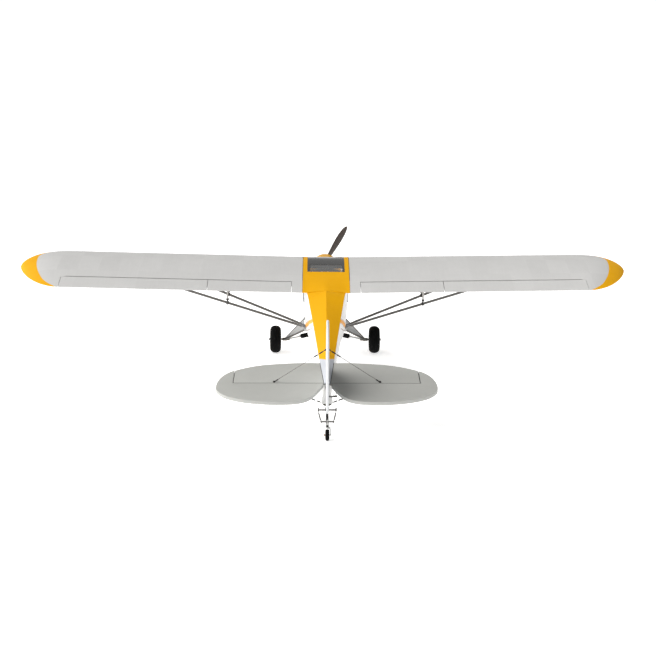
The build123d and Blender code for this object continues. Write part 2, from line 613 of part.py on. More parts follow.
arms, pushrods = {}, {}
for name, s in (("left", -1), ("right", 1)):
    for key, x in SERVO_X.items():
        z = servo_axis(x)
        with BuildPart() as arm:
            rod((s * (x - 4.8), SERVO_Y, z), (s * (x + 0.2), SERVO_Y, z), 3.5)
            block(s * (x - 2.4), s * (x - 0.6), SERVO_Y - 2.4, SERVO_Y + 2.4, z - HORN - 2.4, z)
            rod((s * (x - 5), SERVO_Y, z - HORN), (s * (x + 5), SERVO_Y, z - HORN), 1.05, Mode.SUBTRACT)
        arms[key + "_" + name] = arm
        with BuildPart() as link:
            rod((s * (x + 3), SERVO_Y, z - HORN), (s * (x + 3), HINGE_Y, z - HORN), 1.0)
            rod((s * (x - 3.4), SERVO_Y, z - HORN), (s * (x + 3.8), SERVO_Y, z - HORN), 0.95)
            rod((s * (x - 2.6), HINGE_Y, z - HORN), (s * (x + 3.8), HINGE_Y, z - HORN), 0.95)
        pushrods[key + "_" + name] = link
# elevator: arm outside the left of the tail
EA = (-25.0, -708.0, STAB_Z - 20.0)
with BuildPart() as elevator_arm:
    rod((-19.2, EA[1], EA[2]), (-25.5, EA[1], EA[2]), 3.5)
    block(-26.5, -24.5, EA[1] - 2.4, EA[1] + 2.4, EA[2] - ELEV_HORN - 2.4, EA[2] + 1)
    rod((-31, EA[1], EA[2] - ELEV_HORN), (-20, EA[1], EA[2] - ELEV_HORN), 1.05, Mode.SUBTRACT)
with BuildPart() as elevator_pushrod:
    p0, p1 = (-31.5, EA[1], EA[2] - ELEV_HORN), (-31.5, ELEV_HINGE_Y, STAB_Z - ELEV_HORN)
    rod(p0, p1, 1.0)
    rod((-23.8, p0[1], p0[2]), (-32.3, p0[1], p0[2]), 0.95)
    rod((-26.2, p1[1], p1[2]), (-32.3, p1[1], p1[2]), 0.95)
with BuildPart() as rudder_arm:
    rod((0, -728, -142.9), (0, -728, -138), 3.5)
    block(-2, RUD_HORN + 3.5, -730.4, -725.6, -141.2, -138.8)
    rod((RUD_HORN, -728, -146), (RUD_HORN, -728, -136), 1.05, Mode.SUBTRACT)
with BuildPart() as rudder_pushrod:
    rod((RUD_HORN, -728, -136), (RUD_HORN, RUDDER_HINGE_Y, -136), 1.0)
    rod((RUD_HORN, -728, -142), (RUD_HORN, -728, -135.2), 0.95)
    rod((RUD_HORN, RUDDER_HINGE_Y, -142), (RUD_HORN, RUDDER_HINGE_Y, -135.2), 0.95)

# ================================================================ write every piece
for builder, name in (
    (fuselage_left, "fuselage_left"), (fuselage_right, "fuselage_right"), (battery_hatch, "battery_hatch"), (cowl, "cowl"),
    (motor_mount, "motor_mount"), (motor_rotor, "motor_rotor"), (propeller, "propeller"), (battery, "battery"),
    (radio_gear, "radio_gear"), (instrument_panel, "instrument_panel"), (windshield, "windshield"), (side_windows, "side_windows"),
    (wing_centre, "wing_centre_section"), (skylight, "skylight"), (spar_tube, "wing_spar_tube"),
    (wings["left"], "wing_left"), (wings["right"], "wing_right"),
    (surfaces["aileron_left"], "aileron_left"), (surfaces["aileron_right"], "aileron_right"),
    (surfaces["flap_left"], "flap_left"), (surfaces["flap_right"], "flap_right"),
    (struts_front, "wing_struts_front"), (struts_rear, "wing_struts_rear"), (jury_struts, "jury_struts"),
    (stabilizer, "stabilizer"), (elevators["left"], "elevator_left"), (elevators["right"], "elevator_right"), (elevator_joiner, "elevator_joiner"),
    (fin, "fin"), (rudder, "rudder"), (brace_wires, "tail_brace_wires"), (leaf_spring, "tail_leaf_spring"),
    (tail_fork, "tail_fork"), (tail_wheel, "tail_wheel"), (springs["left"], "steering_spring_left"), (springs["right"], "steering_spring_right"),
    (legs["left"], "gear_leg_left"), (legs["right"], "gear_leg_right"), (hubs["left"], "wheel_hub_left"), (hubs["right"], "wheel_hub_right"),
    (tyres["left"], "tyre_left"), (tyres["right"], "tyre_right"), (sleeves["left"], "shock_sleeve_left"), (sleeves["right"], "shock_sleeve_right"),
    (rods_["left"], "shock_rod_left"), (rods_["right"], "shock_rod_right"), (gear_cabane, "gear_cabane"), (servos, "servos"),
    (arms["aileron_left"], "aileron_servo_arm_left"), (arms["aileron_right"], "aileron_servo_arm_right"),
    (arms["flap_left"], "flap_servo_arm_left"), (arms["flap_right"], "flap_servo_arm_right"),
    (pushrods["aileron_left"], "aileron_pushrod_left"), (pushrods["aileron_right"], "aileron_pushrod_right"),
    (pushrods["flap_left"], "flap_pushrod_left"), (pushrods["flap_right"], "flap_pushrod_right"),
    (elevator_arm, "elevator_servo_arm"), (elevator_pushrod, "elevator_pushrod"), (rudder_arm, "rudder_servo_arm"), (rudder_pushrod, "rudder_pushrod"),
):
    write(builder, name)
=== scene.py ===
import bpy
import bmesh
import math
import numpy as np
from mathutils import Vector, Matrix


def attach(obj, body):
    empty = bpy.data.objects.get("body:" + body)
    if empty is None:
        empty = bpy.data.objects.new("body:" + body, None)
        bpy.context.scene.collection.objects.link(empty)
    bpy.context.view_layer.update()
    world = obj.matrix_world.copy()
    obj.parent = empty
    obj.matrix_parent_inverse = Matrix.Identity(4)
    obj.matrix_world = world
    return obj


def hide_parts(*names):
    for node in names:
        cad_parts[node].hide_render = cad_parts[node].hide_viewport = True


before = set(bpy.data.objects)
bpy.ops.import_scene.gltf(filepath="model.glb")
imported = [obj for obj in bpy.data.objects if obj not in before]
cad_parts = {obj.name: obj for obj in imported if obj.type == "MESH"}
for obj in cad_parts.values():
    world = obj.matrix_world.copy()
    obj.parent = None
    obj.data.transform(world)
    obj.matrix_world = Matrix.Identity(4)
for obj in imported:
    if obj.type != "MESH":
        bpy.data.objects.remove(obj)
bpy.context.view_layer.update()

# ------------------------------------------------------------------ aircraft frame (mm) to row frame (m)
SHIFT, HEIGHT, TH = 352.99, 357.85, math.radians(7.5)
CT, ST = math.cos(TH), math.sin(TH)


def G(p):
    x, y, z = p
    return (x / 1000.0, (SHIFT + y * CT - z * ST) / 1000.0, (HEIGHT + y * ST + z * CT) / 1000.0)


def GA(a):
    a = np.asarray(a, float).reshape(-1, 3)
    return np.column_stack([a[:, 0], SHIFT + a[:, 1] * CT - a[:, 2] * ST, HEIGHT + a[:, 1] * ST + a[:, 2] * CT]) / 1000.0


# ------------------------------------------------------------------ mesh helpers
def make(name, V, F, mats, body, reps=(), slot=None, angle=32.0, midx=None, weld=2e-6, row=False, bevel=None, recalc=True, solid=None, subsurf=0):
    V = np.asarray(V, float) if row else GA(V)
    me = bpy.data.meshes.new(name)
    me.from_pydata([tuple(v) for v in V], [], [tuple(int(i) for i in f) for f in F])
    mats = mats if isinstance(mats, (list, tuple)) else [mats]
    for m in mats:
        me.materials.append(m)
    if midx is not None:
        for p, k in zip(me.polygons, midx):
            p.material_index = k
    bm = bmesh.new()
    bm.from_mesh(me)
    bmesh.ops.remove_doubles(bm, verts=bm.verts, dist=weld)
    bmesh.ops.dissolve_degenerate(bm, dist=weld, edges=bm.edges)
    if recalc:
        bmesh.ops.recalc_face_normals(bm, faces=bm.faces)
    if bevel:
        lim = math.radians(bevel[2] if len(bevel) > 2 else 40)
        es = [e for e in bm.edges if len(e.link_faces) == 2 and e.calc_face_angle(0) > lim]
        bmesh.ops.bevel(bm, geom=es, offset=bevel[0] / 1000.0, segments=bevel[1], profile=0.5, affect="EDGES", clamp_overlap=True)
    lim = math.radians(angle)
    for f in bm.faces:
        f.smooth = True
    for e in bm.edges:
        e.smooth = not (len(e.link_faces) == 2 and e.calc_face_angle(0) > lim)
    bm.to_mesh(me)
    bm.free()
    ob = bpy.data.objects.new(name, me)
    bpy.context.scene.collection.objects.link(ob)
    if solid:
        m = ob.modifiers.new("wall", "SOLIDIFY")
        m.thickness = solid / 1000.0
        m.offset = -1.0
        m.use_even_offset = True
    if subsurf:
        m = ob.modifiers.new("sub", "SUBSURF")
        m.levels = m.render_levels = subsurf
    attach(ob, body)
    if reps:
        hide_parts(*reps)
    return ob


def join(*parts):
    V, F, n = [], [], 0
    for v, f in parts:
        v = np.asarray(v, float).reshape(-1, 3)
        V.append(v)
        F += [tuple(i + n for i in q) for q in f]
        n += len(v)
    return np.vstack(V), F


def loft(loops, closed=True, cap0=True, cap1=True):
    L = [np.asarray(l, float) for l in loops]
    n = len(L[0])
    V = np.vstack(L)
    F = []
    m = n if closed else n - 1
    for i in range(len(L) - 1):
        for j in range(m):
            k = (j + 1) % n
            F.append((i * n + j, i * n + k, (i + 1) * n + k, (i + 1) * n + j))
    if cap0:
        F.append(tuple(range(n - 1, -1, -1)))
    if cap1:
        F.append(tuple((len(L) - 1) * n + j for j in range(n)))
    return V, F


def unit(v):
    v = np.asarray(v, float)
    return v / max(np.linalg.norm(v), 1e-9)


def basis(d, ref=(0, 0, 1)):
    d = unit(d)
    r = np.asarray(ref, float)
    if abs(d @ unit(r)) > 0.97:
        r = np.array((0, 1.0, 0))
    u = unit(np.cross(r, d))
    return u, np.cross(d, u)


def turned(prof, a, b, n=28, ref=(0, 0, 1)):
    """Solid of revolution about the line a-b; prof is a list of (distance along, radius)."""
    a, b = np.asarray(a, float), np.asarray(b, float)
    d = unit(b - a)
    u, w = basis(d, ref)
    loops = []
    for t, r in prof:
        c = a + d * t
        loops.append([c + max(r, 0.001) * (u * math.cos(q) + w * math.sin(q)) for q in np.linspace(0, 2 * math.pi, n, endpoint=False)])
    return loft(loops)


def bar(a, b, r, n=16, r2=None, ends=0.25):
    """Round bar with softened ends."""
    L = float(np.linalg.norm(np.asarray(b, float) - np.asarray(a, float)))
    r2 = r if r2 is None else r2
    e = min(ends * r, L / 4)
    return turned([(0, r - e), (e, r), (L - e, r2), (L, r2 - e)], a, b, n)


def tube(path, r, n=12, flat=1.0, ref=(0, 0, 1), taper=None):
    P = [np.asarray(p, float) for p in path]
    loops = []
    for i, p in enumerate(P):
        d = unit(P[min(i + 1, len(P) - 1)] - P[max(i - 1, 0)])
        u, w = basis(d, ref)
        k = 1.0 if taper is None else taper[i]
        loops.append([p + k * r * (u * math.cos(q) * flat + w * math.sin(q)) for q in np.linspace(0, 2 * math.pi, n, endpoint=False)])
    return loft(loops)


def boxy(x0, x1, y0, y1, z0, z1):
    V = [(x, y, z) for x in (x0, x1) for y in (y0, y1) for z in (z0, z1)]
    F = [(0, 1, 3, 2), (4, 6, 7, 5), (0, 4, 5, 1), (2, 3, 7, 6), (0, 2, 6, 4), (1, 5, 7, 3)]
    return np.array(V, float), F


def plate(poly, axis, lo, hi):
    """Prism of a polygon. axis 'z': poly is (x, y); axis 'x': poly is (y, z)."""
    n = len(poly)
    V = []
    for h in (lo, hi):
        for a, b in poly:
            V.append((a, b, h) if axis == "z" else (h, a, b))
    F = [tuple(range(n - 1, -1, -1)), tuple(range(n, 2 * n))]
    for j in range(n):
        k = (j + 1) % n
        F.append((j, k, n + k, n + j))
    return np.array(V, float), F


def smooth_curve(pts, n=12, closed=False):
    """Centripetal Catmull-Rom through the points."""
    P = [np.asarray(p, float) for p in pts]
    m = len(P)
    out = []
    segs = range(m if closed else m - 1)
    for i in segs:
        if closed:
            p0, p1, p2, p3 = P[(i - 1) % m], P[i], P[(i + 1) % m], P[(i + 2) % m]
        else:
            p1, p2 = P[i], P[i + 1]
            p0 = P[i - 1] if i > 0 else 2 * p1 - p2
            p3 = P[i + 2] if i + 2 < m else 2 * p2 - p1
        t0 = 0.0
        t1 = t0 + max(np.linalg.norm(p1 - p0), 1e-6) ** 0.5
        t2 = t1 + max(np.linalg.norm(p2 - p1), 1e-6) ** 0.5
        t3 = t2 + max(np.linalg.norm(p3 - p2), 1e-6) ** 0.5
        for k in range(n):
            t = t1 + (t2 - t1) * k / n
            a1 = (t1 - t) / (t1 - t0) * p0 + (t - t0) / (t1 - t0) * p1
            a2 = (t2 - t) / (t2 - t1) * p1 + (t - t1) / (t2 - t1) * p2
            a3 = (t3 - t) / (t3 - t2) * p2 + (t - t2) / (t3 - t2) * p3
            b1 = (t2 - t) / (t2 - t0) * a1 + (t - t0) / (t2 - t0) * a2
            b2 = (t3 - t) / (t3 - t1) * a2 + (t - t1) / (t3 - t1) * a3
            out.append((t2 - t) / (t2 - t1) * b1 + (t - t1) / (t2 - t1) * b2)
    if not closed:
        out.append(P[-1])
    return [tuple(p) for p in out]


def pchip(xs, ys, x):
    """Monotone cubic through rows; xs decreasing or increasing."""
    xs = np.asarray(xs, float)
    ys = np.asarray(ys, float)
    if xs[0] > xs[-1]:
        xs, ys = xs[::-1], ys[::-1]
    h = np.diff(xs)
    d = np.diff(ys) / h
    m = np.zeros(len(xs))
    m[0], m[-1] = d[0], d[-1]
    for i in range(1, len(xs) - 1):
        if d[i - 1] * d[i] > 0:
            w1, w2 = 2 * h[i] + h[i - 1], h[i] + 2 * h[i - 1]
            m[i] = (w1 + w2) / (w1 / d[i - 1] + w2 / d[i])
    i = int(np.clip(np.searchsorted(xs, x) - 1, 0, len(h) - 1))
    t = (x - xs[i]) / h[i]
    return ((1 + 2 * t) * (1 - t) ** 2 * ys[i] + t * (1 - t) ** 2 * h[i] * m[i] + t * t * (3 - 2 * t) * ys[i + 1] + t * t * (t - 1) * h[i] * m[i + 1])


# ------------------------------------------------------------------ materials
class Nodes:
    def __init__(self, name):
        self.m = bpy.data.materials.new(name)
        self.m.use_nodes = True
        self.t = self.m.node_tree
        self.t.nodes.clear()
        self.out = self.t.nodes.new("ShaderNodeOutputMaterial")
        self.b = self.t.nodes.new("ShaderNodeBsdfPrincipled")
        self.t.links.new(self.b.outputs[0], self.out.inputs[0])
        self.coord = self.t.nodes.new("ShaderNodeTexCoord")
        self._ac = None

    def n(self, kind, **kw):
        x = self.t.nodes.new(kind)
        for k, v in kw.items():
            setattr(x, k, v)
        return x

    def link(self, a, b):
        self.t.links.new(a, b)

    def ac(self):
        """Aircraft coordinates in mm."""
        if self._ac is None:
            mp = self.n("ShaderNodeMapping", vector_type="TEXTURE")
            mp.inputs["Location"].default_value = (0, SHIFT / 1000, HEIGHT / 1000)
            mp.inputs["Rotation"].default_value = (TH, 0, 0)
            mp.inputs["Scale"].default_value = (0.001, 0.001, 0.001)
            self.link(self.coord.outputs["Object"], mp.inputs["Vector"])
            sp = self.n("ShaderNodeSeparateXYZ")
            self.link(mp.outputs[0], sp.inputs[0])
            self._ac = (mp.outputs[0], sp.outputs[0], sp.outputs[1], sp.outputs[2])
        return self._ac

    def math(self, op, a, b=None, c=None, clamp=False):
        x = self.n("ShaderNodeMath", operation=op, use_clamp=clamp)
        for i, v in enumerate((a, b, c)):
            if v is None:
                continue
            if isinstance(v, (int, float)):
                x.inputs[i].default_value = v
            else:
                self.link(v, x.inputs[i])
        return x.outputs[0]

    def step(self, v, edge, soft=0.6, flip=False):
        """0 below edge, 1 above, soft in mm."""
        x = self.n("ShaderNodeMapRange", interpolation_type="SMOOTHSTEP")
        self.link(v, x.inputs["Value"])
        if isinstance(edge, (int, float)):
            x.inputs["From Min"].default_value = edge - soft
            x.inputs["From Max"].default_value = edge + soft
        x.inputs["To Min"].default_value = 1.0 if flip else 0.0
        x.inputs["To Max"].default_value = 0.0 if flip else 1.0
        return x.outputs[0]

    def band(self, v, lo, hi, soft=0.6):
        return self.math("MULTIPLY", self.step(v, lo, soft), self.step(v, hi, soft, True))

    def noise(self, scale, detail=3.0, rough=0.5, vec=None, dim="3D"):
        x = self.n("ShaderNodeTexNoise")
        x.inputs["Scale"].default_value = scale
        x.inputs["Detail"].default_value = detail
        x.inputs["Roughness"].default_value = rough
        self.link(self.coord.outputs["Object"] if vec is None else vec, x.inputs["Vector"])
        return x.outputs["Fac"]

    def voronoi(self, scale, feature="F1", vec=None):
        x = self.n("ShaderNodeTexVoronoi", feature=feature)
        x.inputs["Scale"].default_value = scale
        self.link(self.coord.outputs["Object"] if vec is None else vec, x.inputs["Vector"])
        return x.outputs["Distance"]

    def mix(self, fac, a, b, mode="MIX"):
        x = self.n("ShaderNodeMix", data_type="RGBA", blend_type=mode)
        if isinstance(fac, (int, float)):
            x.inputs[0].default_value = fac
        else:
            self.link(fac, x.inputs[0])
        for i, v in ((6, a), (7, b)):
            if isinstance(v, tuple):
                x.inputs[i].default_value = (*v[:3], 1.0)
            else:
                self.link(v, x.inputs[i])
        return x.outputs[2]

    def scale_col(self, col, fac):
        """Multiply a colour by a grey value."""
        x = self.n("ShaderNodeVectorMath", operation="SCALE")
        if isinstance(col, tuple):
            x.inputs[0].default_value = col[:3]
        else:
            self.link(col, x.inputs[0])
        self.link(fac, x.inputs["Scale"])
        return x.outputs[0]

    def remap(self, v, a, b, c, d):
        x = self.n("ShaderNodeMapRange")
        self.link(v, x.inputs["Value"])
        for k, q in (("From Min", a), ("From Max", b), ("To Min", c), ("To Max", d)):
            x.inputs[k].default_value = q
        return x.outputs[0]

    def bump(self, height, strength, dist=0.0002, prev=None):
        x = self.n("ShaderNodeBump")
        x.inputs["Strength"].default_value = strength
        x.inputs["Distance"].default_value = dist
        self.link(height, x.inputs["Height"])
        if prev is not None:
            self.link(prev, x.inputs["Normal"])
        return x.outputs[0]

    def done(self, col=None, rough=None, normal=None, **sock):
        if col is not None:
            if isinstance(col, tuple):
                self.b.inputs["Base Color"].default_value = (*col[:3], 1)
            else:
                self.link(col, self.b.inputs["Base Color"])
        if rough is not None:
            if isinstance(rough, (int, float)):
                self.b.inputs["Roughness"].default_value = rough
            else:
                self.link(rough, self.b.inputs["Roughness"])
        if normal is not None:
            self.link(normal, self.b.inputs["Normal"])
        for k, v in sock.items():
            self.b.inputs[k.replace("_", " ")].default_value = v
        return self.m


YELLOW = (0.76, 0.375, 0.0)
WHITE = (0.80, 0.80, 0.79)
SILVER = (0.545, 0.545, 0.54)
TAILGREY = (0.42, 0.425, 0.405)


def foam_skin(nd, col, normal_extra=None, rough=(0.42, 0.55)):
    """Painted moulded foam: faint bead pattern, slight colour drift and handling marks."""
    beads = nd.voronoi(330.0)
    fine = nd.noise(900.0, 2.0)
    drift = nd.noise(7.0, 4.0, 0.6)
    smudge = nd.noise(38.0, 5.0, 0.65)
    tone = nd.math("ADD", nd.remap(drift, 0.3, 0.7, 0.975, 1.02), nd.remap(smudge, 0.35, 0.75, 0.0, -0.02))
    c = nd.scale_col(col, tone)
    n = nd.bump(beads, 0.10, 0.0006)
    n = nd.bump(fine, 0.05, 0.0002, n)
    if normal_extra is not None:
        n = nd.bump(normal_extra, 0.5, 0.0008, n)
    r = nd.remap(smudge, 0.3, 0.75, rough[0], rough[1])
    return nd.done(c, r, n, Specular_IOR_Level=0.16)


def mat_wing():
    nd = Nodes("wing_paint")
    vec, x, y, z = nd.ac()
    ax = nd.math("ABSOLUTE", x)
    # bowed edge of the yellow tip
    dy = nd.math("ADD", y, 120.0)
    q = nd.math("MULTIPLY", nd.math("MULTIPLY", dy, dy), 0.00158)
    aft = nd.math("MAXIMUM", nd.math("SUBTRACT", -292.0, y), 0.0)
    q = nd.math("ADD", q, nd.math("MULTIPLY", nd.math("MULTIPLY", aft, aft), 0.0062))
    fwd = nd.math("MAXIMUM", nd.math("ADD", y, 120.0), 0.0)
    q = nd.math("ADD", q, nd.math("MULTIPLY", nd.math("MULTIPLY", fwd, fwd), 0.0052))
    tip = nd.step(nd.math("ADD", ax, q), 1019.0, 0.5)
    lead = nd.step(nd.math("ADD", y, nd.math("MULTIPLY", ax, 0.0)), -9.0, 0.5)
    mask = nd.math("MAXIMUM", tip, lead)
    # ribs every 71 mm: a small bump and a slight painted highlight along each rib line
    w = nd.math("MULTIPLY", nd.math("SUBTRACT", ax, 82.0), 1 / 71.0)
    rib = nd.math("ABSOLUTE", nd.math("SUBTRACT", nd.math("FRACT", w), 0.5))
    rib = nd.step(rib, 0.44, 0.06)
    cell = nd.n("ShaderNodeTexWhiteNoise", noise_dimensions="2D")
    cx = nd.n("ShaderNodeCombineXYZ")
    nd.link(nd.math("FLOOR", w), cx.inputs[0])
    nd.link(nd.math("FLOOR", nd.math("MULTIPLY", y, 1 / 118.0)), cx.inputs[1])
    nd.link(cx.outputs[0], cell.inputs["Vector"])
    tone = nd.remap(cell.outputs["Value"], 0, 1, 0.975, 1.02)
    # painted highlight: each rib line is lifted 0.6 % brighter, as a lit rib ridge would look
    base = nd.scale_col(SILVER, nd.math("MULTIPLY", tone, nd.remap(rib, 0, 1, 1.0, 1.006)))
    # fine brushed grain of metallic paint
    mp = nd.n("ShaderNodeMapping")
    mp.inputs["Scale"].default_value = (260, 14, 60)
    nd.link(nd.coord.outputs["Object"], mp.inputs["Vector"])
    grain = nd.noise(1.0, 3.0, 0.6, mp.outputs[0])
    base = nd.scale_col(base, nd.remap(grain, 0.3, 0.7, 0.985, 1.015))
    col = nd.mix(mask, base, YELLOW)
    return foam_skin(nd, col, nd.math("MULTIPLY", rib, 0.22))


def mat_plain(name, col, rough=(0.42, 0.55)):
    nd = Nodes(name)
    return foam_skin(nd, col, None, rough)


def mat_deck():
    """Yellow turtledeck, silver past the end of the yellow."""
    nd = Nodes("deck_paint")
    vec, x, y, z = nd.ac()
    m = nd.step(nd.math("ADD", y, nd.math("MULTIPLY", nd.math("MAXIMUM", nd.math("SUBTRACT", 20.0, nd.math("ABSOLUTE", x)), 0.0), 1.15)), -711.0, 0.4, False)
    seam = nd.band(nd.math("ABSOLUTE", x), -1.0, 0.35, 0.25)
    col = nd.mix(m, (0.50, 0.52, 0.56), YELLOW)
    return foam_skin(nd, col)


def mat_side():
    """White sides with a swept yellow band and a thin line along the lower longeron."""
    nd = Nodes("fuselage_side_paint")
    vec, x, y, z = nd.ac()
    # upper branch: from the deck edge forward and down
    zc = nd.math("ADD", nd.math("MULTIPLY", nd.math("ADD", y, 493.0), -0.45), -53.5)
    d1 = nd.math("ABSOLUTE", nd.math("SUBTRACT", z, zc))
    rng = nd.band(y, -500.0, -168.0, 0.5)
    up = nd.math("MULTIPLY", nd.step(d1, 7.0, 0.4, True), rng)
    zl = nd.math("ADD", nd.math("MULTIPLY", nd.math("ADD", y, 500.0), -0.42), -78.0)
    d2 = nd.math("ABSOLUTE", nd.math("SUBTRACT", z, zl))
    zk = nd.math("ADD", nd.math("MULTIPLY", nd.math("ADD", y, 740.0), -0.10), -158.0)
    d3 = nd.math("ABSOLUTE", nd.math("SUBTRACT", z, zk))
    low = nd.math("MULTIPLY", nd.step(d3, 2.6, 0.3, True), nd.band(y, -740.0, -168.0, 0.5))
    mask = nd.math("MAXIMUM", up, low)
    e1 = nd.math("MULTIPLY", nd.band(d1, 8.4, 9.8, 0.3), rng)
    e2 = nd.math("MULTIPLY", nd.step(d2, 1.6, 0.3, True), rng)
    edge = nd.math("MULTIPLY", nd.math("MAXIMUM", e1, e2), nd.math("SUBTRACT", 1.0, mask))
    tail = nd.step(y, -735.0, 0.5, True)
    col = nd.mix(mask, WHITE, (0.80, 0.33, 0.02))
    col = nd.mix(nd.math("MULTIPLY", edge, 0.8), col, (0.20, 0.07, 0.02))
    # cabin side-window frames and door line
    door = nd.math("MULTIPLY", nd.band(z, -205.0, -22.0, 0.4), nd.band(nd.math("ABSOLUTE", nd.math("SUBTRACT", nd.math("ABSOLUTE", nd.math("ADD", y, 37.0)), 62.0)), -1.0, 0.45, 0.3))
    col = nd.mix(nd.math("MULTIPLY", door, 0.55), col, (0.25, 0.25, 0.25))
    return foam_skin(nd, col)


def mat_tail_end():
    """White end block; its underside is coloured dark olive as painted shade of the shadowed sole."""
    nd = Nodes("tail_end_paint_and_shade")
    vec, x, y, z = nd.ac()
    # painted shade: below z -165.5 the white turns dark olive, standing in for the shadowed underside of the end
    m = nd.step(nd.math("ADD", z, nd.math("MULTIPLY", nd.math("ABSOLUTE", x), 0.12)), -165.5, 0.5, True)
    return foam_skin(nd, nd.mix(m, WHITE, (0.055, 0.05, 0.028)))


def mat_gloss(name, col, rough=0.3, coat=0.3, fine=900.0, var=0.03):
    nd = Nodes(name)
    a = nd.noise(25.0, 4.0, 0.6)
    b = nd.noise(fine, 2.0)
    c = nd.scale_col(col, nd.remap(a, 0.3, 0.7, 1 - var, 1 + var))
    r = nd.remap(a, 0.3, 0.7, max(rough - 0.05, 0.02), rough + 0.07)
    return nd.done(c, r, nd.bump(b, 0.06, 0.0001), Coat_Weight=coat, Coat_Roughness=0.12)


def mat_metal(name, col, rough=0.3, metallic=1.0, brush=(400, 400, 30)):
    nd = Nodes(name)
    mp = nd.n("ShaderNodeMapping")
    mp.inputs["Scale"].default_value = brush
    nd.link(nd.coord.outputs["Object"], mp.inputs["Vector"])
    g = nd.noise(1.0, 4.0, 0.6, mp.outputs[0])
    w = nd.noise(60.0, 4.0, 0.7)
    c = nd.scale_col(col, nd.remap(w, 0.3, 0.75, 1.06, 0.86))
    return nd.done(c, nd.remap(g, 0.3, 0.7, rough - 0.06, rough + 0.12), nd.bump(g, 0.08, 0.0001), Metallic=metallic)


def mat_rubber(name, col, rough=0.7, scale=500.0):
    nd = Nodes(name)
    a = nd.noise(scale, 4.0, 0.65)
    d = nd.noise(30.0, 5.0, 0.7)
    c = nd.mix(nd.remap(d, 0.5, 0.8, 0.0, 0.35), col, tuple(min(1, v * 2.0 + 0.004) for v in col))
    return nd.done(c, nd.remap(d, 0.3, 0.7, rough - 0.08, rough + 0.12), nd.bump(a, 0.25, 0.0003), Specular_IOR_Level=0.08)


def mat_clear(name):
    """Thin clear sheet: mostly transparent, glossy at grazing angles."""
    nd = Nodes(name)
    s = nd.noise(45.0, 5.0, 0.7)
    lw = nd.n("ShaderNodeLayerWeight")
    lw.inputs["Blend"].default_value = 0.25
    a = nd.math("ADD", nd.math("MULTIPLY", lw.outputs["Fresnel"], 0.12), nd.remap(s, 0.3, 0.8, 0.01, 0.03))
    nd.link(a, nd.b.inputs["Alpha"])
    c = nd.scale_col((0.9, 0.92, 0.92), nd.remap(s, 0.3, 0.7, 0.97, 1.0))
    return nd.done(c, nd.remap(s, 0.3, 0.75, 0.04, 0.12), None, IOR=1.45)


def mat_glass(name, col, alpha, rough=0.05):
    nd = Nodes(name)
    s = nd.noise(45.0, 5.0, 0.7)
    f = nd.noise(700.0, 2.0)
    c = nd.scale_col(col, nd.remap(s, 0.3, 0.7, 0.95, 1.05))
    m = nd.done(c, nd.remap(s, 0.3, 0.75, rough, rough + 0.12), nd.bump(f, 0.02, 0.0001), Alpha=alpha, IOR=1.49, Coat_Weight=0.5, Coat_Roughness=0.04)
    return m


def mat_prop():
    nd = Nodes("prop_brown")
    mp = nd.n("ShaderNodeMapping")
    mp.inputs["Rotation"].default_value = (0, math.radians(28), 0)
    mp.inputs["Scale"].default_value = (220, 60, 10)
    nd.link(nd.coord.outputs["Object"], mp.inputs["Vector"])
    g = nd.noise(1.0, 5.0, 0.65, mp.outputs[0])
    c = nd.mix(nd.remap(g, 0.35, 0.65, 0, 1), (0.050, 0.030, 0.019), (0.026, 0.016, 0.011))
    return nd.done(c, nd.remap(g, 0.3, 0.7, 0.34, 0.5), nd.bump(g, 0.08, 0.0002), Coat_Weight=0.25, Coat_Roughness=0.25)


def mat_carbon():
    nd = Nodes("carbon_weave")
    ck = nd.n("ShaderNodeTexChecker")
    ck.inputs["Scale"].default_value = 500
    nd.link(nd.coord.outputs["Object"], ck.inputs["Vector"])
    c = nd.mix(ck.outputs["Fac"], (0.012, 0.012, 0.013), (0.03, 0.03, 0.032))
    return nd.done(c, 0.35, nd.bump(ck.outputs["Fac"], 0.1, 0.0001), Coat_Weight=0.5, Coat_Roughness=0.1)


def mat_ply():
    nd = Nodes("plywood")
    mp = nd.n("ShaderNodeMapping")
    mp.inputs["Scale"].default_value = (12, 160, 160)
    nd.link(nd.coord.outputs["Object"], mp.inputs["Vector"])
    g = nd.noise(1.0, 5.0, 0.6, mp.outputs[0])
    c = nd.mix(nd.remap(g, 0.35, 0.65, 0, 1), (0.55, 0.38, 0.21), (0.40, 0.25, 0.12))
    return nd.done(c, 0.6, nd.bump(g, 0.15, 0.0003))


M_WING = mat_wing()
M_YEL = mat_plain("trim_yellow", YELLOW)
M_WHITE = mat_plain("fuselage_white", WHITE)
M_TAIL = mat_plain("tail_silver", TAILGREY)
M_FIN = mat_plain("fin_silver", (0.62, 0.635, 0.65))
M_DECK = mat_deck()
M_SIDE = mat_side()
M_TAILEND = mat_tail_end()
M_COWL = mat_gloss("cowl_yellow", YELLOW, 0.28, 0.35)
M_INNER = mat_plain("cabin_lining", (0.55, 0.52, 0.45))
# nearly opaque dark glazing: partly the smoked tint of the sheet, partly painted shade of the cabin interior seen
# through it
M_SMOKE_SHADE = mat_glass("smoked_glazing", (0.055, 0.055, 0.054), 0.985, 0.16)
M_CLEAR = mat_clear("clear_glazing")
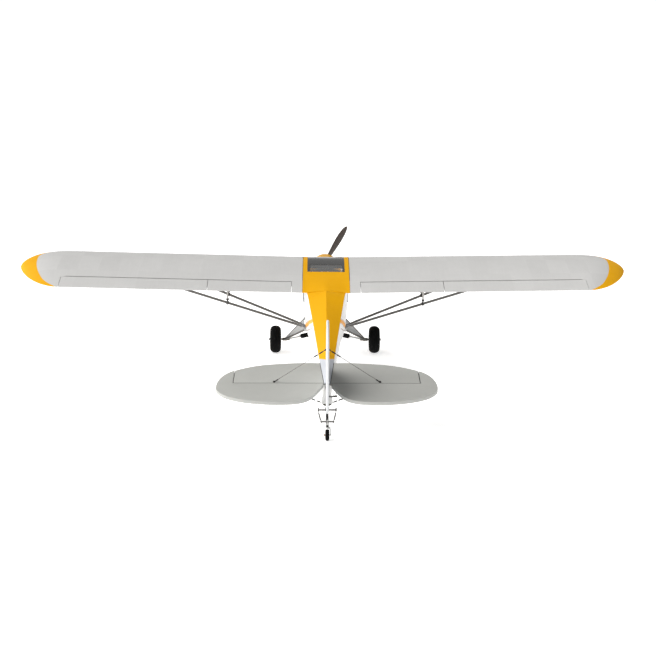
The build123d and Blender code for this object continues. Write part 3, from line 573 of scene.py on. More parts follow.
# nearly opaque dark side glazing: partly the tint of the glass, partly painted shade of the cabin interior
M_DARKWIN_SHADE = mat_glass("side_glazing_and_shade", (0.02, 0.02, 0.022), 0.85, 0.05)
M_PANEL = mat_rubber("panel_dark", (0.028, 0.027, 0.026), 0.6, 300)
M_STRUT = mat_gloss("strut_brown_grey", (0.120, 0.114, 0.105), 0.38, 0.15)
M_JURY = mat_gloss("jury_grey", (0.40, 0.385, 0.365), 0.4, 0.1)
M_STEEL = mat_metal("steel", (0.55, 0.55, 0.54), 0.32)
M_DSTEEL = mat_metal("dark_steel", (0.055, 0.053, 0.052), 0.42, 0.7)
M_FIT = mat_metal("fitting_steel", (0.24, 0.24, 0.245), 0.3, 0.9)
M_WIRE = mat_metal("wire", (0.16, 0.15, 0.145), 0.4)
M_ALU = mat_metal("aluminium", (0.62, 0.62, 0.63), 0.28)
M_BRASS = mat_metal("brass_collar", (0.42, 0.24, 0.12), 0.4)
M_TYRE = mat_rubber("tyre_rubber", (0.0022, 0.0022, 0.0025), 0.7, 420)
M_BUNGEE = mat_rubber("bungee_cord", (0.008, 0.008, 0.008), 0.8, 900)
M_HUB = mat_gloss("hub_silver", (0.48, 0.485, 0.49), 0.35, 0.2)
M_PROP = mat_prop()
M_CARBON = mat_carbon()
M_PLY = mat_ply()
M_BATT = mat_gloss("battery_wrap", (0.02, 0.045, 0.16), 0.25, 0.4)
M_ELEC = mat_gloss("servo_case", (0.018, 0.018, 0.02), 0.45, 0.0)
M_HORN = mat_gloss("horn_tan", (0.30, 0.17, 0.09), 0.5, 0.0)
M_GREYPL = mat_gloss("cuff_grey", (0.46, 0.465, 0.46), 0.42, 0.1)

for node, m in {"motor_mount": M_PLY, "motor_rotor": M_ALU, "battery": M_BATT, "radio_gear": M_ELEC, "wing_spar_tube": M_CARBON, "elevator_joiner": M_STEEL, "servos": M_ELEC,
                "aileron_servo_arm_left": M_HORN, "aileron_servo_arm_right": M_HORN, "flap_servo_arm_left": M_HORN, "flap_servo_arm_right": M_HORN,
                "elevator_servo_arm": M_HORN, "rudder_servo_arm": M_HORN, "aileron_pushrod_left": M_WIRE, "aileron_pushrod_right": M_WIRE,
                "flap_pushrod_left": M_WIRE, "flap_pushrod_right": M_WIRE, "elevator_pushrod": M_WIRE, "rudder_pushrod": M_WIRE, "gear_cabane": M_GREYPL,
                "shock_rod_left": M_STEEL, "shock_rod_right": M_STEEL, "tail_leaf_spring": M_DSTEEL, "battery_hatch": M_WHITE}.items():
    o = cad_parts[node]
    o.data.materials.clear()
    o.data.materials.append(m)

# ------------------------------------------------------------------ wing section, as in the CAD
CHORD, HALF_SPAN, CENTRE = 347.0, 1075.0, 82.0
HINGE_Y, FLAP_X, AIL_X = -284.0, (120.0, 407.0), (408.5, 909.0)
T_ROOT = 0.12 * CHORD
INC = math.tan(math.radians(1.0))


def thick(s, t):
    return 5 * t * (0.2969 * np.sqrt(s) - 0.1260 * s - 0.3516 * s**2 + 0.2843 * s**3 - 0.0990 * s**4)


def camb(s):
    m, p = 0.034, 0.4
    return np.where(s < p, m / p**2 * (2 * p * s - s * s), m / (1 - p) ** 2 * ((1 - 2 * p) + 2 * p * s - s * s))


def rise(x):
    return (abs(x) - CENTRE) * math.tan(math.radians(1.1)) if abs(x) > CENTRE else 0.0


def tip_le_te(x):
    x = abs(x)
    if x <= 905:
        return 0.0, -CHORD
    u = min((x - 905.0) / 170.0, 1.0)
    le = -155.0 * (1 - (1 - u**2.6) ** (1 / 1.8))
    te = -CHORD + 191.0 * (1 - max(1 - u**2.0, 0.0) ** (1 / 1.25))
    return le, te


def surf_z(y, x, side=1):
    le, te = tip_le_te(x)
    c = le - te
    s = np.clip((le - np.asarray(y, float)) / c, 0, 1)
    t = T_ROOT * (c / CHORD) ** 0.6
    h = c * thick(s, t / c)
    h = np.where(s > 0.5, np.maximum(h, 0.9), h)
    return rise(x) + np.asarray(y, float) * INC + c * camb(s) + side * h


def mid_z(y, x):
    return float((surf_z(y, x, 1) + surf_z(y, x, -1)) / 2)


HR = float((surf_z(HINGE_Y, 0, 1) - surf_z(HINGE_Y, 0, -1)) / 2 - 0.2)


def wing_loop(x, cut, n=26, aft=14):
    """Closed section loop at |x|; cut: the hinge bay is open there."""
    le, te = tip_le_te(x)
    c = le - te
    yc = HINGE_Y + (3.7 if abs(x) < 408 else 4.2) if abs(x) < 905 else le - 0.826 * c
    ss = (le - yc) / c * (1 - np.cos(np.linspace(0, math.pi / 2, n)))
    ys = le - ss * c
    top = [(y, float(surf_z(y, x, 1))) for y in ys]
    bot = [(y, float(surf_z(y, x, -1))) for y in ys][::-1]
    if cut:
        zm = mid_z(HINGE_Y, x)
        rc = HR + 1.1
        mid = [(HINGE_Y + rc * math.cos(a), zm + rc * math.sin(a)) for a in np.linspace(math.radians(58), -math.radians(58), aft)]
    else:
        h = aft // 2
        ya = np.linspace(yc, te, h + 1)[1:]
        mid = [(y, float(surf_z(y, x, 1))) for y in ya] + [(y, float(surf_z(y, x, -1))) for y in ya[::-1]]
    return top + mid + bot[:-1]


BAY = (118.8, 910.2)


def build_wing(sign):
    xs = [(82.5, 0), (100, 0), (BAY[0], 0), (BAY[0], 1)]
    xs += [(x, 1) for x in np.linspace(140, 890, 24)]
    xs += [(BAY[1], 1), (BAY[1], 0)]
    u = np.linspace(0.04, 1, 34)
    xs += [(905 + 170 * (1 - (1 - k) ** 1.9) if k < 1 else 1075.0, 0) for k in u if 905 + 170 * (1 - (1 - k) ** 1.9) > 911]
    loops = []
    for x, cut in xs:
        xx = min(x, 1074.97)
        loops.append([(sign * x, y, z) for y, z in wing_loop(xx, cut)])
    return loft(loops, cap0=True, cap1=True)


def build_surface(sign, x0, x1, n=12):
    loops = []
    for x in np.linspace(x0, x1, n):
        zm = mid_z(HINGE_Y, x)
        ya = HINGE_Y - (CHORD + HINGE_Y) * np.linspace(0, 1, 14) ** 0.9
        top = [(y, float(surf_z(y, min(x, 904), 1)) + (rise(x) - rise(min(x, 904)))) for y in ya]
        bot = [(y, float(surf_z(y, min(x, 904), -1)) + (rise(x) - rise(min(x, 904)))) for y in ya[::-1]]
        nose = [(HINGE_Y + HR * math.cos(a), zm + HR * math.sin(a)) for a in np.linspace(-math.pi / 2, math.pi / 2, 13)][1:-1]
        loops.append([(sign * x, y, z) for y, z in top + bot + nose])
    return loft(loops)


SERVO_X = {"aileron": 560.0, "flap": 262.0}
SERVO_Y, HORN = -214.0, 16.0


def horn(sign, x):
    z = mid_z(HINGE_Y, x)
    prof = smooth_curve([(HINGE_Y + 1.5, z - 4), (HINGE_Y + 3.2, z - HORN + 1), (HINGE_Y + 2.2, z - HORN - 2.6), (HINGE_Y - 2.0, z - HORN - 2.8), (HINGE_Y - 6, z - HORN + 2), (HINGE_Y - 17, z - 4)], 5)
    return plate(prof, "x", sign * x - 1.2, sign * x + 1.2)


for sign, name in ((-1, "left"), (1, "right")):
    w = make("wing_panel_" + name, *build_wing(sign), M_WING, "airframe", ["wing_" + name], "wing_silver", angle=38)
    # servo pocket covers, flush under the wing with a slot for the arm
    cov = []
    for key, x in SERVO_X.items():
        xs_, ys_ = np.linspace(x - 19, x + 13, 9), np.linspace(SERVO_Y - 21, SERVO_Y + 25, 9)
        top = [[(sign * a, b, float(surf_z(b, a, -1)) + 0.3) for b in ys_] for a in xs_]
        V = [p for r_ in top for p in r_] + [(p[0], p[1], p[2] - 1.3) for r_ in top for p in r_]
        F = []
        for i in range(8):
            for j in range(8):
                if 3 <= i <= 4 and 1 <= j <= 6:
                    continue
                a, b, c_, d = i * 9 + j, i * 9 + j + 1, (i + 1) * 9 + j + 1, (i + 1) * 9 + j
                F += [(a, b, c_, d), (81 + d, 81 + c_, 81 + b, 81 + a)]
        cov.append((np.array(V, float), F))
    V, F = join(*cov)
    make("servo_covers_" + name, V, F, M_WING, "airframe", slot="wing_silver")
    for kind, (a, b) in (("flap", FLAP_X), ("aileron", AIL_X)):
        make(f"{kind}_{name}_surface", *build_surface(sign, a + 0.3, b - 0.1), M_WING, f"{kind}_{name}", [f"{kind}_{name}"], "wing_silver", angle=38)
        make(f"{kind}_{name}_horn", *horn(sign, SERVO_X[kind]), M_HORN, f"{kind}_{name}", bevel=(0.3, 2))

# ------------------------------------------------------------------ centre section and skylight
SKY_X, SKY_Y0, SKY_Y1, SKY_MID = 66.0, -40.0, -209.0, -150.0
parts = []
for s in (-1, 1):
    rib_ = wing_loop(82, 0)
    cy_, cz_ = -150.0, 12.0
    big = [(y + (0.5 if y > cy_ else -0.5), z + (0.45 if z > cz_ else -0.45)) for y, z in rib_]
    parts.append(loft([[(s * h, y, z) for y, z in big] for h in (81.3, 82.7)]))
V, F = join(*parts)
make("root_seal_ribs", V, F, M_PANEL, "airframe", slot="dark_panel")


def centre_section():
    """Full-section roof with the skylight opening cut through it; ridge rises towards the trailing edge."""
    xs = [-81.6, -80.8, -76, -71, -SKY_X, -50, -30, -12, 0, 12, 30, 50, SKY_X, 71, 76, 80.8, 81.6]
    ys = [-SKY_Y0 * 0 - v for v in (0, 1.5, 4, 8, 14, 22, 32, 44)] + [SKY_Y0] + list(np.linspace(SKY_Y0 - 12, SKY_Y1 + 12, 12)) + [SKY_Y1] + list(np.linspace(SKY_Y1 - 14, -CHORD, 10))
    def crown(x, y):
        t = np.clip((-236 - y) / 111.0, 0, 1)
        return 7.3 * t * max(1 - abs(x) / 66.0, 0.0)
    nx, ny = len(xs), len(ys)
    T = [[(x, y, float(surf_z(y, 0, 1)) + crown(x, y) + 0.15) for y in ys] for x in xs]
    B = [[(x, y, float(surf_z(y, 0, -1))) for y in ys] for x in xs]
    V = [p for r in T for p in r] + [p for r in B for p in r]
    o = nx * ny
    F = []
    i0, i1 = xs.index(-SKY_X), xs.index(SKY_X)
    j0, j1 = ys.index(SKY_Y0), ys.index(SKY_Y1)
    for i in range(nx - 1):
        for j in range(ny - 1):
            if i0 <= i < i1 and j0 <= j < j1:
                continue
            a, b, c, d = i * ny + j, (i + 1) * ny + j, (i + 1) * ny + j + 1, i * ny + j + 1
            F += [(a, b, c, d), (o + d, o + c, o + b, o + a)]
    for j in range(ny - 1):
        F.append((j, j + 1, o + j + 1, o + j))
        e = (nx - 1) * ny
        F.append((e + j + 1, e + j, o + e + j, o + e + j + 1))
    for i in range(nx - 1):
        e = ny - 1
        F.append((i * ny + e, (i + 1) * ny + e, o + (i + 1) * ny + e, o + i * ny + e))
    for j in range(j0, j1):
        for i, s in ((i0, 1), (i1, -1)):
            F.append((i * ny + j, i * ny + j + 1, o + i * ny + j + 1, o + i * ny + j)[::s])
    for i in range(i0, i1):
        for j, s in ((j0, -1), (j1, 1)):
            F.append((i * ny + j, (i + 1) * ny + j, o + (i + 1) * ny + j, o + i * ny + j)[::s])
    return V, F


make("centre_section_roof", *centre_section(), M_YEL, "airframe", ["wing_centre_section"], "trim_yellow", angle=40)


def sheet_on_top(x0, x1, y0, y1, lift, th, nx=8, ny=14):
    xs, ys = np.linspace(x0, x1, nx), np.linspace(y0, y1, ny)
    T = [(x, y, float(surf_z(y, 0, 1)) + lift) for x in xs for y in ys]
    B = [(x, y, z - th) for x, y, z in T]
    V = T + B
    o = nx * ny
    F = []
    for i in range(nx - 1):
        for j in range(ny - 1):
            a, b, c, d = i * ny + j, (i + 1) * ny + j, (i + 1) * ny + j + 1, i * ny + j + 1
            F += [(a, b, c, d), (o + d, o + c, o + b, o + a)]
    for j in range(ny - 1):
        e = (nx - 1) * ny
        F += [(j, j + 1, o + j + 1, o + j), (e + j + 1, e + j, o + e + j, o + e + j + 1)]
    for i in range(nx - 1):
        e = ny - 1
        F += [((i + 1) * ny, i * ny, o + i * ny, o + (i + 1) * ny), (i * ny + e, (i + 1) * ny + e, o + (i + 1) * ny + e, o + i * ny + e)]
    return V, F


# smoked skylight pane: a nearly opaque dark sheet, partly tint and partly painted shade of the cabin below it
make("skylight_smoked_and_shade", *sheet_on_top(-65.5, 65.5, SKY_Y0 - 0.5, SKY_MID, 0.35, 1.5), M_SMOKE_SHADE, "airframe", ["skylight"], "smoked_glazing")
make("skylight_clear", *sheet_on_top(-57.5, 57.5, SKY_MID - 0.2, SKY_Y1 + 0.6, 0.30, 1.2), M_CLEAR, "airframe", slot="smoked_glazing")
# side strips beside the clear pane use the same dark glazing, with the same painted shade
V, F = join(*[sheet_on_top(a, b, SKY_MID - 0.2, SKY_Y1 + 0.6, 0.5, 2.0, 3, 8) for a, b in ((-65.5, -57.6), (57.6, 65.5))])
make("skylight_side_strips", V, F, M_SMOKE_SHADE, "airframe", slot="smoked_glazing")

# ------------------------------------------------------------------ fuselage
FUSE = [
    (93, -58, -80, 58, 63, -120, 63, -205, 46, -238),
    (40, -30, -50, 66, 73, -110, 70, -205, 52, -238),
    (0, -2, -4, 79, 79, -95, 73, -205, 55, -238),
    (-150, -2, -4, 79, 79, -95, 73, -205, 55, -238),
    (-230, -1, -6, 77, 77, -95, 67, -203, 50, -232),
    (-347, 2, -7.5, 65, 66, -80, 52, -198, 40, -222),
    (-420, -15.5, -29, 55.5, 57.5, -90, 46, -193, 35, -215),
    (-540, -45, -60, 41.5, 43.5, -105, 36, -186, 27, -204),
    (-735, -91, -104, 21, 23, -130, 22, -172, 15, -186),
    (-900, -108, -120, 5, 9, -140, 11, -162, 7, -170),
]
FY = [r[0] for r in FUSE]


def frow(y):
    return [pchip(FY, [r[k] for r in FUSE], y) for k in range(1, 10)]


def chaikin(P, times=2):
    P = [np.asarray(p, float) for p in P]
    for _ in range(times):
        Q = [P[0]]
        for a, b in zip(P[:-1], P[1:]):
            Q += [a * 0.75 + b * 0.25, a * 0.25 + b * 0.75]
        Q.append(P[-1])
        P = Q
    return P


def resample(P, n):
    P = np.array(P)
    d = np.concatenate([[0], np.cumsum(np.linalg.norm(np.diff(P, axis=0), axis=1))])
    t = np.linspace(0, d[-1], n)
    return np.column_stack([np.interp(t, d, P[:, k]) for k in range(P.shape[1])])


def side_section(y, n=26):
    zr, zt, wt, wm, zm, wl, zl, wb, zb = frow(y)
    if y > 0:                       # sides follow the windscreen's foot
        zt = -7 + (zt + 7) * (y / 93.0) ** 0.9 if y < 93 else zt
    elif y > -347:
        zt = float(surf_z(y, 0, -1)) - 0.1 if y < -2 else -7.0
    P = chaikin([(wt, zt), (wm, zm * 0.5 + zt * 0.5), (wm, zm), (wl + (wm - wl) * 0.1, zl * 0.85 + zm * 0.15), (wl - 0.5, zl + 6), (wb + (wl - wb) * 0.45, zb + 9), (wb, zb), (wb * 0.5, zb), (0, zb)], 2)
    return resample(P, n)


def fuselage_half(sign, n=26):
    ys = sorted(set([93, 80, 60, 40, 20, 0, -2] + list(np.linspace(-15, -345, 27)) + [-347] + list(np.linspace(-365, -900, 34))), reverse=True)
    rows = [[(sign * x, y, z) for x, z in side_section(y, n)] for y in ys]
    V, F = loft(rows, closed=False, cap0=False, cap1=False)
    return V, F


for sign, name in ((-1, "left"), (1, "right")):
    V, F = fuselage_half(sign)
    ob = make("fuselage_shell_" + name, V, F, M_SIDE, "airframe", ["fuselage_" + name], "fuselage_white", angle=60, recalc=True)
    bm = bmesh.new()
    bm.from_mesh(ob.data)
    f = max(bm.faces, key=lambda q: q.calc_area())
    if sum((1 if q.normal.x * sign > 0 else -1) * q.calc_area() for q in bm.faces) < 0:
        bmesh.ops.reverse_faces(bm, faces=bm.faces)
    bm.to_mesh(ob.data)
    bm.free()
    m = ob.modifiers.new("wall", "SOLIDIFY")
    m.thickness, m.offset, m.use_even_offset = 0.005, -1.0, True

# turtledeck: two flat slopes meeting in a ridge, closed underneath by a wall
dy_ = sorted(set([-341, -728.5, -729.5] + list(np.linspace(-347, -889, 44))), reverse=True)
rows = []
for y in dy_:
    zr, zt, wt = frow(y)[:3]
    if y > -347:
        zr, zt = zr - 0.6, zt - 0.5
    if y < -729:
        k = min((-729 - y) / 160.0, 1.0)
        wt, zt, zr = 21.5 + (9.5 - 21.5) * k, -103.6, -90 + (-97.5 + 90) * k
    rows.append([(-wt - 0.4, y, zt - 1.5), (-wt - 0.4, y, zt + 0.2), (-wt * 0.5, y, zt + (zr - zt) * 0.52), (-0.8, y, zr - 0.2), (0, y, zr), (0.8, y, zr - 0.2), (wt * 0.5, y, zt + (zr - zt) * 0.52), (wt + 0.4, y, zt + 0.2), (wt + 0.4, y, zt - 1.5), (0, y, zt - 3.0)])
make("turtledeck", *loft(rows), M_DECK, "airframe", slot="trim_yellow", angle=9)
# painted shadow: thin dark tubes along the joint between the tail cone and the stabilizer stand in for the shadow in
# that gap
shade_tubes = []
for s in (-1, 1):
    shade_tubes.append(tube([(s * (21.9 + (9.9 - 21.9) * min((-729 - y) / 160.0, 1.0)), y, -103.7) for y in np.linspace(-731, -888, 12)], 0.9, 8))
V, F = join(*shade_tubes)
make("tail_cone_gap_shade", V, F, M_PANEL, "airframe", slot="wire_dark")
# tail end cap and belly keel
zr, zt, wt, wm, zm, wl, zl, wb, zb = frow(-900)
rows = []
for y, k, q in ((-868, 0.0, 0), (-880, 0.7, 0), (-892, 1.0, 0), (-899.5, 1.0, 0), (-902.5, 0.97, 1.2), (-903.6, 0.86, 4)):
    zr, zt, wt, wm, zm, wl, zl, wb, zb = frow(max(y, -900))
    g_ = 1 + 5.0 * k
    rows.append([(0, y, -122 - q), (wt * 0.8 + 1, y, -124 - q), (wm + 1.5 * k, y, -142), (wl + g_, y, -160), (wl + g_ - 1.5, y, -167), ((wb + g_) * 0.72, y, -173.4 + q), (0, y, -175.8 + q)])
rows = [[(x, y, z) for x, y, z in r] + [(-x, y, z) for x, y, z in r[-2:0:-1]] for r in rows]
rows = [[tuple(p) for p in smooth_curve(r, 3, True)] for r in rows]
make("tail_end_block", *loft(rows), M_TAILEND, "airframe", slot="fuselage_white", angle=45)

# cowl: rounded sections, rolled front lip
COWL = [(93.3, 126, 176, -147, 40), (130, 126, 173, -145.5, 42), (170, 124, 165, -142.6, 44), (205, 118, 148, -135, 45), (235, 109, 127, -126, 45), (253, 99, 109, -117.5, 43), (262, 90, 98, -113, 42)]


def rrect(w, h, r, n=8):
    P = []
    for cx, cy, a0 in ((w / 2 - r, h / 2 - r, 0), (-w / 2 + r, h / 2 - r, 90), (-w / 2 + r, -h / 2 + r, 180), (w / 2 - r, -h / 2 + r, 270)):
        P += [(cx + r * math.cos(math.radians(a0 + 90 * k / n)), cy + r * math.sin(math.radians(a0 + 90 * k / n))) for k in range(n + 1)]
    return P


def cowl_loop(y, w, h, zc, r):
    return [(x, y, z + zc) for x, z in rrect(w, h, r)]


loops = []
for y in np.linspace(93.3, 262, 30):
    loops.append(cowl_loop(y, *[pchip([c[0] for c in COWL], [c[k] for c in COWL], y) for k in (1, 2, 3, 4)]))
loops += [cowl_loop(262.6, 80, 87, -113, 38), cowl_loop(262.2, 66, 72, -112, 32), cowl_loop(258, 60, 66, -111.5, 30), cowl_loop(250, 60, 66, -111.5, 30)]
loops += [cowl_loop(249, 84, 94, -115.5, 38), cowl_loop(200, 108, 140, -136.5, 42), cowl_loop(94, 118, 168, -147, 38)]
V, F = loft(loops + [loops[0]], cap0=False, cap1=False)
make("cowl_shell", V, F, M_COWL, "airframe", ["cowl"], "cowl_white", angle=35)
# cooling baffle behind the opening
V, F = loft([cowl_loop(246, 92, 104, -116.5, 40), cowl_loop(244, 92, 104, -116.5, 40)])
make("cowl_baffle", V, F, M_PANEL, "airframe", slot="dark_panel")

# windscreen: arched clear sheet with yellow side pillars
def wind_arch(y, inset=0.0, k=1.0, n=17):
    t = y / 93.0
    zt = -7 + (frow(y)[1] + 7) * t ** 0.9
    w = frow(y)[2] - inset
    zc = -7 + (-58 + 7) * t
    P = []
    for i in range(n):
        u = -1 + 2 * i / (n - 1)
        P.append((w * u, y, zt + (zc - zt) * (1 - abs(u) ** 2.6) * k))
    return P


ys_ = [92.5, 75, 58, 40, 24, 10, 0.8]
V, F = loft([wind_arch(y) for y in ys_], closed=False, cap0=False, cap1=False)
ob = make("windscreen_sheet", V, F, M_CLEAR, "airframe", ["windshield"], "clear_glazing", solid=1.2, angle=60)
parts = []
for s in (-1, 1):
    path = [(s * (frow(y)[2] - 2), y, wind_arch(y)[0][2] + 1.5) for y in ys_]
    parts.append(tube(path, 4.0, 10))
V, F = join(*parts)
make("windscreen_pillars", V, F, M_YEL, "airframe", slot="trim_yellow")
# spar cover and roof tubes seen through the skylight
V, F = join(bar((-60, -112, 6), (60, -112, 6), 3.2), bar((-60, -40, -8), (60, -40, -8), 3.0))
make("cabin_tubes", V, F, M_DSTEEL, "airframe", slot="dark_panel")

bow = [(float(x), -37.5 - 17.5 * (x / 62.0) ** 2) for x in np.linspace(-60, 60, 25)]
ring_ = bow + [(x * 0.985, z - 6.5) for x, z in bow[::-1]]
V, F = loft([[(x, y, z) for x, z in ring_] for y in (36.0, 44.0)])
make("windscreen_bow", V, F, M_YEL, "airframe", slot="trim_yellow", angle=35)

# instrument panel: hooded, with round dials on its aft face
hood = [(-58, -66), (-52, -58.5), (-44, -53), (-33, -49), (-20, -46.8), (0, -45.6), (20, -46.8), (33, -49), (44, -53), (52, -58.5), (58, -66)]
face = hood + [(58, -120), (-58, -120)]
V, F = loft([[(x, 29.5, z) for x, z in face], [(x, 33.8, z) for x, z in face]])
V2, F2 = loft([[(x, y, z + dz) for x, z in hood] + [(x, y, z + dz - 2) for x, z in hood[::-1]] for y, dz in ((24, -0.6), (30, 0), (60, -4), (86, -12))])
V3, F3 = join((V, F), (V2, F2))
make("instrument_panel_board", V3, F3, M_PANEL, "airframe", ["instrument_panel"], "dark_panel", angle=30)
dials = []
for cx, cz, r in ((-36, -72, 9), (-14, -66, 9), (9, -66, 9), (32, -72, 9), (-14, -90, 7), (9, -90, 7)):
    dials.append(turned([(0, r), (1.2, r), (1.4, r - 1.2), (0.7, r - 1.6), (0.7, 0.1)], (cx, 29.4, cz), (cx, 27.0, cz), 24))
V, F = join(*dials)
make("dial_bezels", V, F, M_STEEL, "airframe", slot="steel")

# side windows with slim frames
wins = []
frames_ = []
for s in (-1, 1):
    for y0, y1 in ((14, -92), (-102, -210)):
        ring = [(y0, -24), (y1, -24), (y1, -88), (y0 - (22 if y0 > 0 else 0), -92), ]
        def skin(y, z):
            P = side_section(y, 60)
            return float(np.interp(-z, -P[:, 1], P[:, 0]))
        ys2 = np.linspace(y0, y1, 14)
        zs2 = np.linspace(-26, -90, 9)
        T = [(s * (skin(y, z) + 0.7), y, z) for y in ys2 for z in zs2]
        V = np.array(T)
        F = [(i * 9 + j, i * 9 + j + 1, (i + 1) * 9 + j + 1, (i + 1) * 9 + j) for i in range(13) for j in range(8)]
        wins.append((V, F))
        edge = [(y, -26) for y in ys2] + [(y1, z) for z in zs2[1:]] + [(y, -90) for y in ys2[::-1][1:]] + [(y0, z) for z in zs2[::-1][1:]]
        frames_.append(tube([(s * (skin(y, z) + 0.8), y, z) for y, z in edge], 1.5, 8))
V, F = join(*wins)
# side window panes: nearly opaque dark sheets on the white skin, partly tint and partly painted shade of the cabin
# behind them
make("side_window_panes", V, F, M_DARKWIN_SHADE, "airframe", ["side_windows"], "smoked_glazing", solid=0.8)
V, F = join(*frames_)
make("side_window_frames", V, F, M_PANEL, "airframe", slot="dark_panel")

# ------------------------------------------------------------------ struts
def streamlined(a, b, chord=12.5, th=8.6, n=20, steps=2):
    """Strut of drop section, chord along Y."""
    a, b = np.asarray(a, float), np.asarray(b, float)
    d = unit(b - a)
    fwd = unit(np.array((0, 1.0, 0)) - d * d[1])
    up = np.cross(d, fwd)
    loops = []
    for t, k in ((0, 0.55), (0.02, 0.85), (0.05, 1), (0.95, 1), (0.98, 0.85), (1, 0.55)):
        c = a + (b - a) * t
        L = []
        for q in np.linspace(0, 2 * math.pi, n, endpoint=False):
            cq, sq = math.cos(q), math.sin(q)
            L.append(c + k * (fwd * chord / 2 * cq + up * th / 2 * sq * (1.0 if cq > 0 else 1 - 0.35 * cq * cq)))
        loops.append(L)
    return loft(loops)


def lerp3(a, b, x):
    t = (x - a[0]) / (b[0] - a[0])
    return np.array([a[i] + t * (b[i] - a[i]) for i in range(3)])


FA, FB = (74.0, -92.0, -226.0), (612.0, -75.0, float(surf_z(-75, 612, -1)) + 1)
RA, RB = (74.0, -108.0, -226.0), (655.0, -200.0, float(surf_z(-200, 655, -1)) + 1)


def mx(p, s):
    return (s * p[0], p[1], p[2])


def strut_set(a, b, name, node):
    body_p, fit_p = [], []
    for s in (-1, 1):
        p0, p1 = lerp3(a, b, 88.0), lerp3(a, b, b[0] - 14)
        body_p.append(streamlined(mx(p0, s), mx(p1, s)))
        # lower end: threaded stud and fork, dark clamp
        q = lerp3(a, b, 73.0)
        fit_p.append(turned([(0, 2.4), (4, 3.0), (5, 4.2), (9, 4.2), (10, 2.6), (13, 2.6), (14, 4.4), (19, 4.4), (20, 3.2)], mx(q, s), mx(lerp3(a, b, 95.0), s), 16))
        fit_p.append(bar((s * q[0] - 0, q[1] - 5, q[2]), (s * q[0], q[1] + 5, q[2]), 3.2))
        e = lerp3(a, b, b[0] - 1.0)
        fit_p.append(turned([(0, 4.4), (12, 4.2), (15, 3.0)], mx(e, s), mx(p1, s), 16))
        fit_p.append(boxy(s * b[0] - 8, s * b[0] + 8, b[1] - 5, b[1] + 5, float(surf_z(b[1], b[0], -1)) - 1.8, float(surf_z(b[1], b[0], -1)) + 0.4))
    V, F = join(*body_p)
    make(name, V, F, M_STRUT, "airframe", [node], "strut_grey")
    V, F = join(*fit_p)
    make(name + "_fittings", V, F, M_FIT, "airframe", slot="strut_grey", angle=35)


strut_set(FA, FB, "front_lift_struts", "wing_struts_front")
strut_set(RA, RB, "rear_lift_struts", "wing_struts_rear")
JX = 352.0
tubes_, clamps = [], []
for s in (-1, 1):
    for a, b in ((FA, FB), (RA, RB)):
        p = lerp3(a, b, JX)
        zt = float(surf_z(p[1], JX, -1))
        tubes_.append(streamlined((s * JX, p[1], p[2] + 14), (s * JX, p[1], zt - 6), 8.5, 6.0))
        d = unit(np.array(mx(b, s)) - np.array(mx(a, s)))
        c = np.array(mx(p, s))
        clamps.append(turned([(0, 5.4), (0.8, 6.6), (7.2, 6.6), (8, 5.4)], c - d * 4, c + d * 4, 20))
        clamps.append(turned([(0, 2.6), (7, 2.6), (8.5, 5.0), (13, 5.0), (14, 3.0)], (s * JX, p[1], p[2] + 3), (s * JX, p[1], p[2] + 17), 12))
        clamps.append(turned([(0, 5.6), (2.5, 5.6), (5, 3.4), (11, 3.2)], (s * JX, p[1], zt + 0.3), (s * JX, p[1], zt - 12), 12))
    pf, pr = lerp3(FA, FB, JX), lerp3(RA, RB, JX)
    tubes_.append(bar((s * JX, pf[1], pf[2] + 30), (s * JX, pr[1], pr[2] + 22), 1.6, 10))
V, F = join(*tubes_)
make("jury_strut_tubes", V, F, M_JURY, "airframe", ["jury_struts"], "strut_grey")
V, F = join(*clamps)
make("jury_clamps", V, F, M_DSTEEL, "airframe", slot="strut_grey")

# ------------------------------------------------------------------ tail surfaces
STAB_Z, STAB_T, EH = -109.0, 10.0, -893.0
OUTER = [(23, -730), (69, -729), (132, -735), (210, -751), (271, -781), (306, -812), (328, -855), (336, -912)]
TRAIL = [(331, -943), (305, -979), (258, -1005.6), (199, -1020.7), (140, -1024.5), (94, -1019), (68, -1007), (50.5, -988), (38, -965), (23, -929), (12.5, -899)]
LE_C = smooth_curve([(18, -730)] + OUTER[1:], 10)
lead = [p for p in LE_C if p[0] <= 285.0]
bal = [p for p in smooth_curve(OUTER + TRAIL[:1], 10) if p[0] > 287.6]
TE_C = smooth_curve(OUTER[-2:] + TRAIL, 8)[8:]


def crowned(poly, z0, z1, edge=3.6, seg=5, name="", **kw):
    V, F = plate(poly, "z", z0, z1)
    return V, F


half = lead + [(285.0, lead[-1][1] - 1.0), (285.0, EH + 6.4), (4.5, EH + 6.4)]
poly = half + [(-x, y) for x, y in half[::-1]]
make("stabilizer_plate", *plate(poly, "z", STAB_Z - 5, STAB_Z + 5), M_TAIL, "airframe", ["stabilizer"], "tail_silver", bevel=(3.6, 6, 50), angle=30)
for sign, name in ((-1, "left"), (1, "right")):
    pts = [(12.5, EH + 4.6), (287.6, EH + 4.6), (287.6, bal[0][1] + 0.5)] + bal + [p for p in TE_C]
    pts = [(sign * x, y) for x, y in pts]
    V, F = plate(pts, "z", STAB_Z - 5, STAB_Z + 5)
    make("elevator_plate_" + name, V, F, M_TAIL, "elevator", ["elevator_" + name], "tail_silver", bevel=(4.7, 7, 50), angle=30)
hp = smooth_curve([(EH + 2, STAB_Z - 4), (EH + 2.2, STAB_Z - 17), (EH, STAB_Z - 21), (EH - 3, STAB_Z - 20), (EH - 6, STAB_Z - 12), (EH - 13, STAB_Z - 4)], 5)
make("elevator_horn", *plate(hp, "x", -29, -27), M_HORN, "elevator", bevel=(0.3, 2))

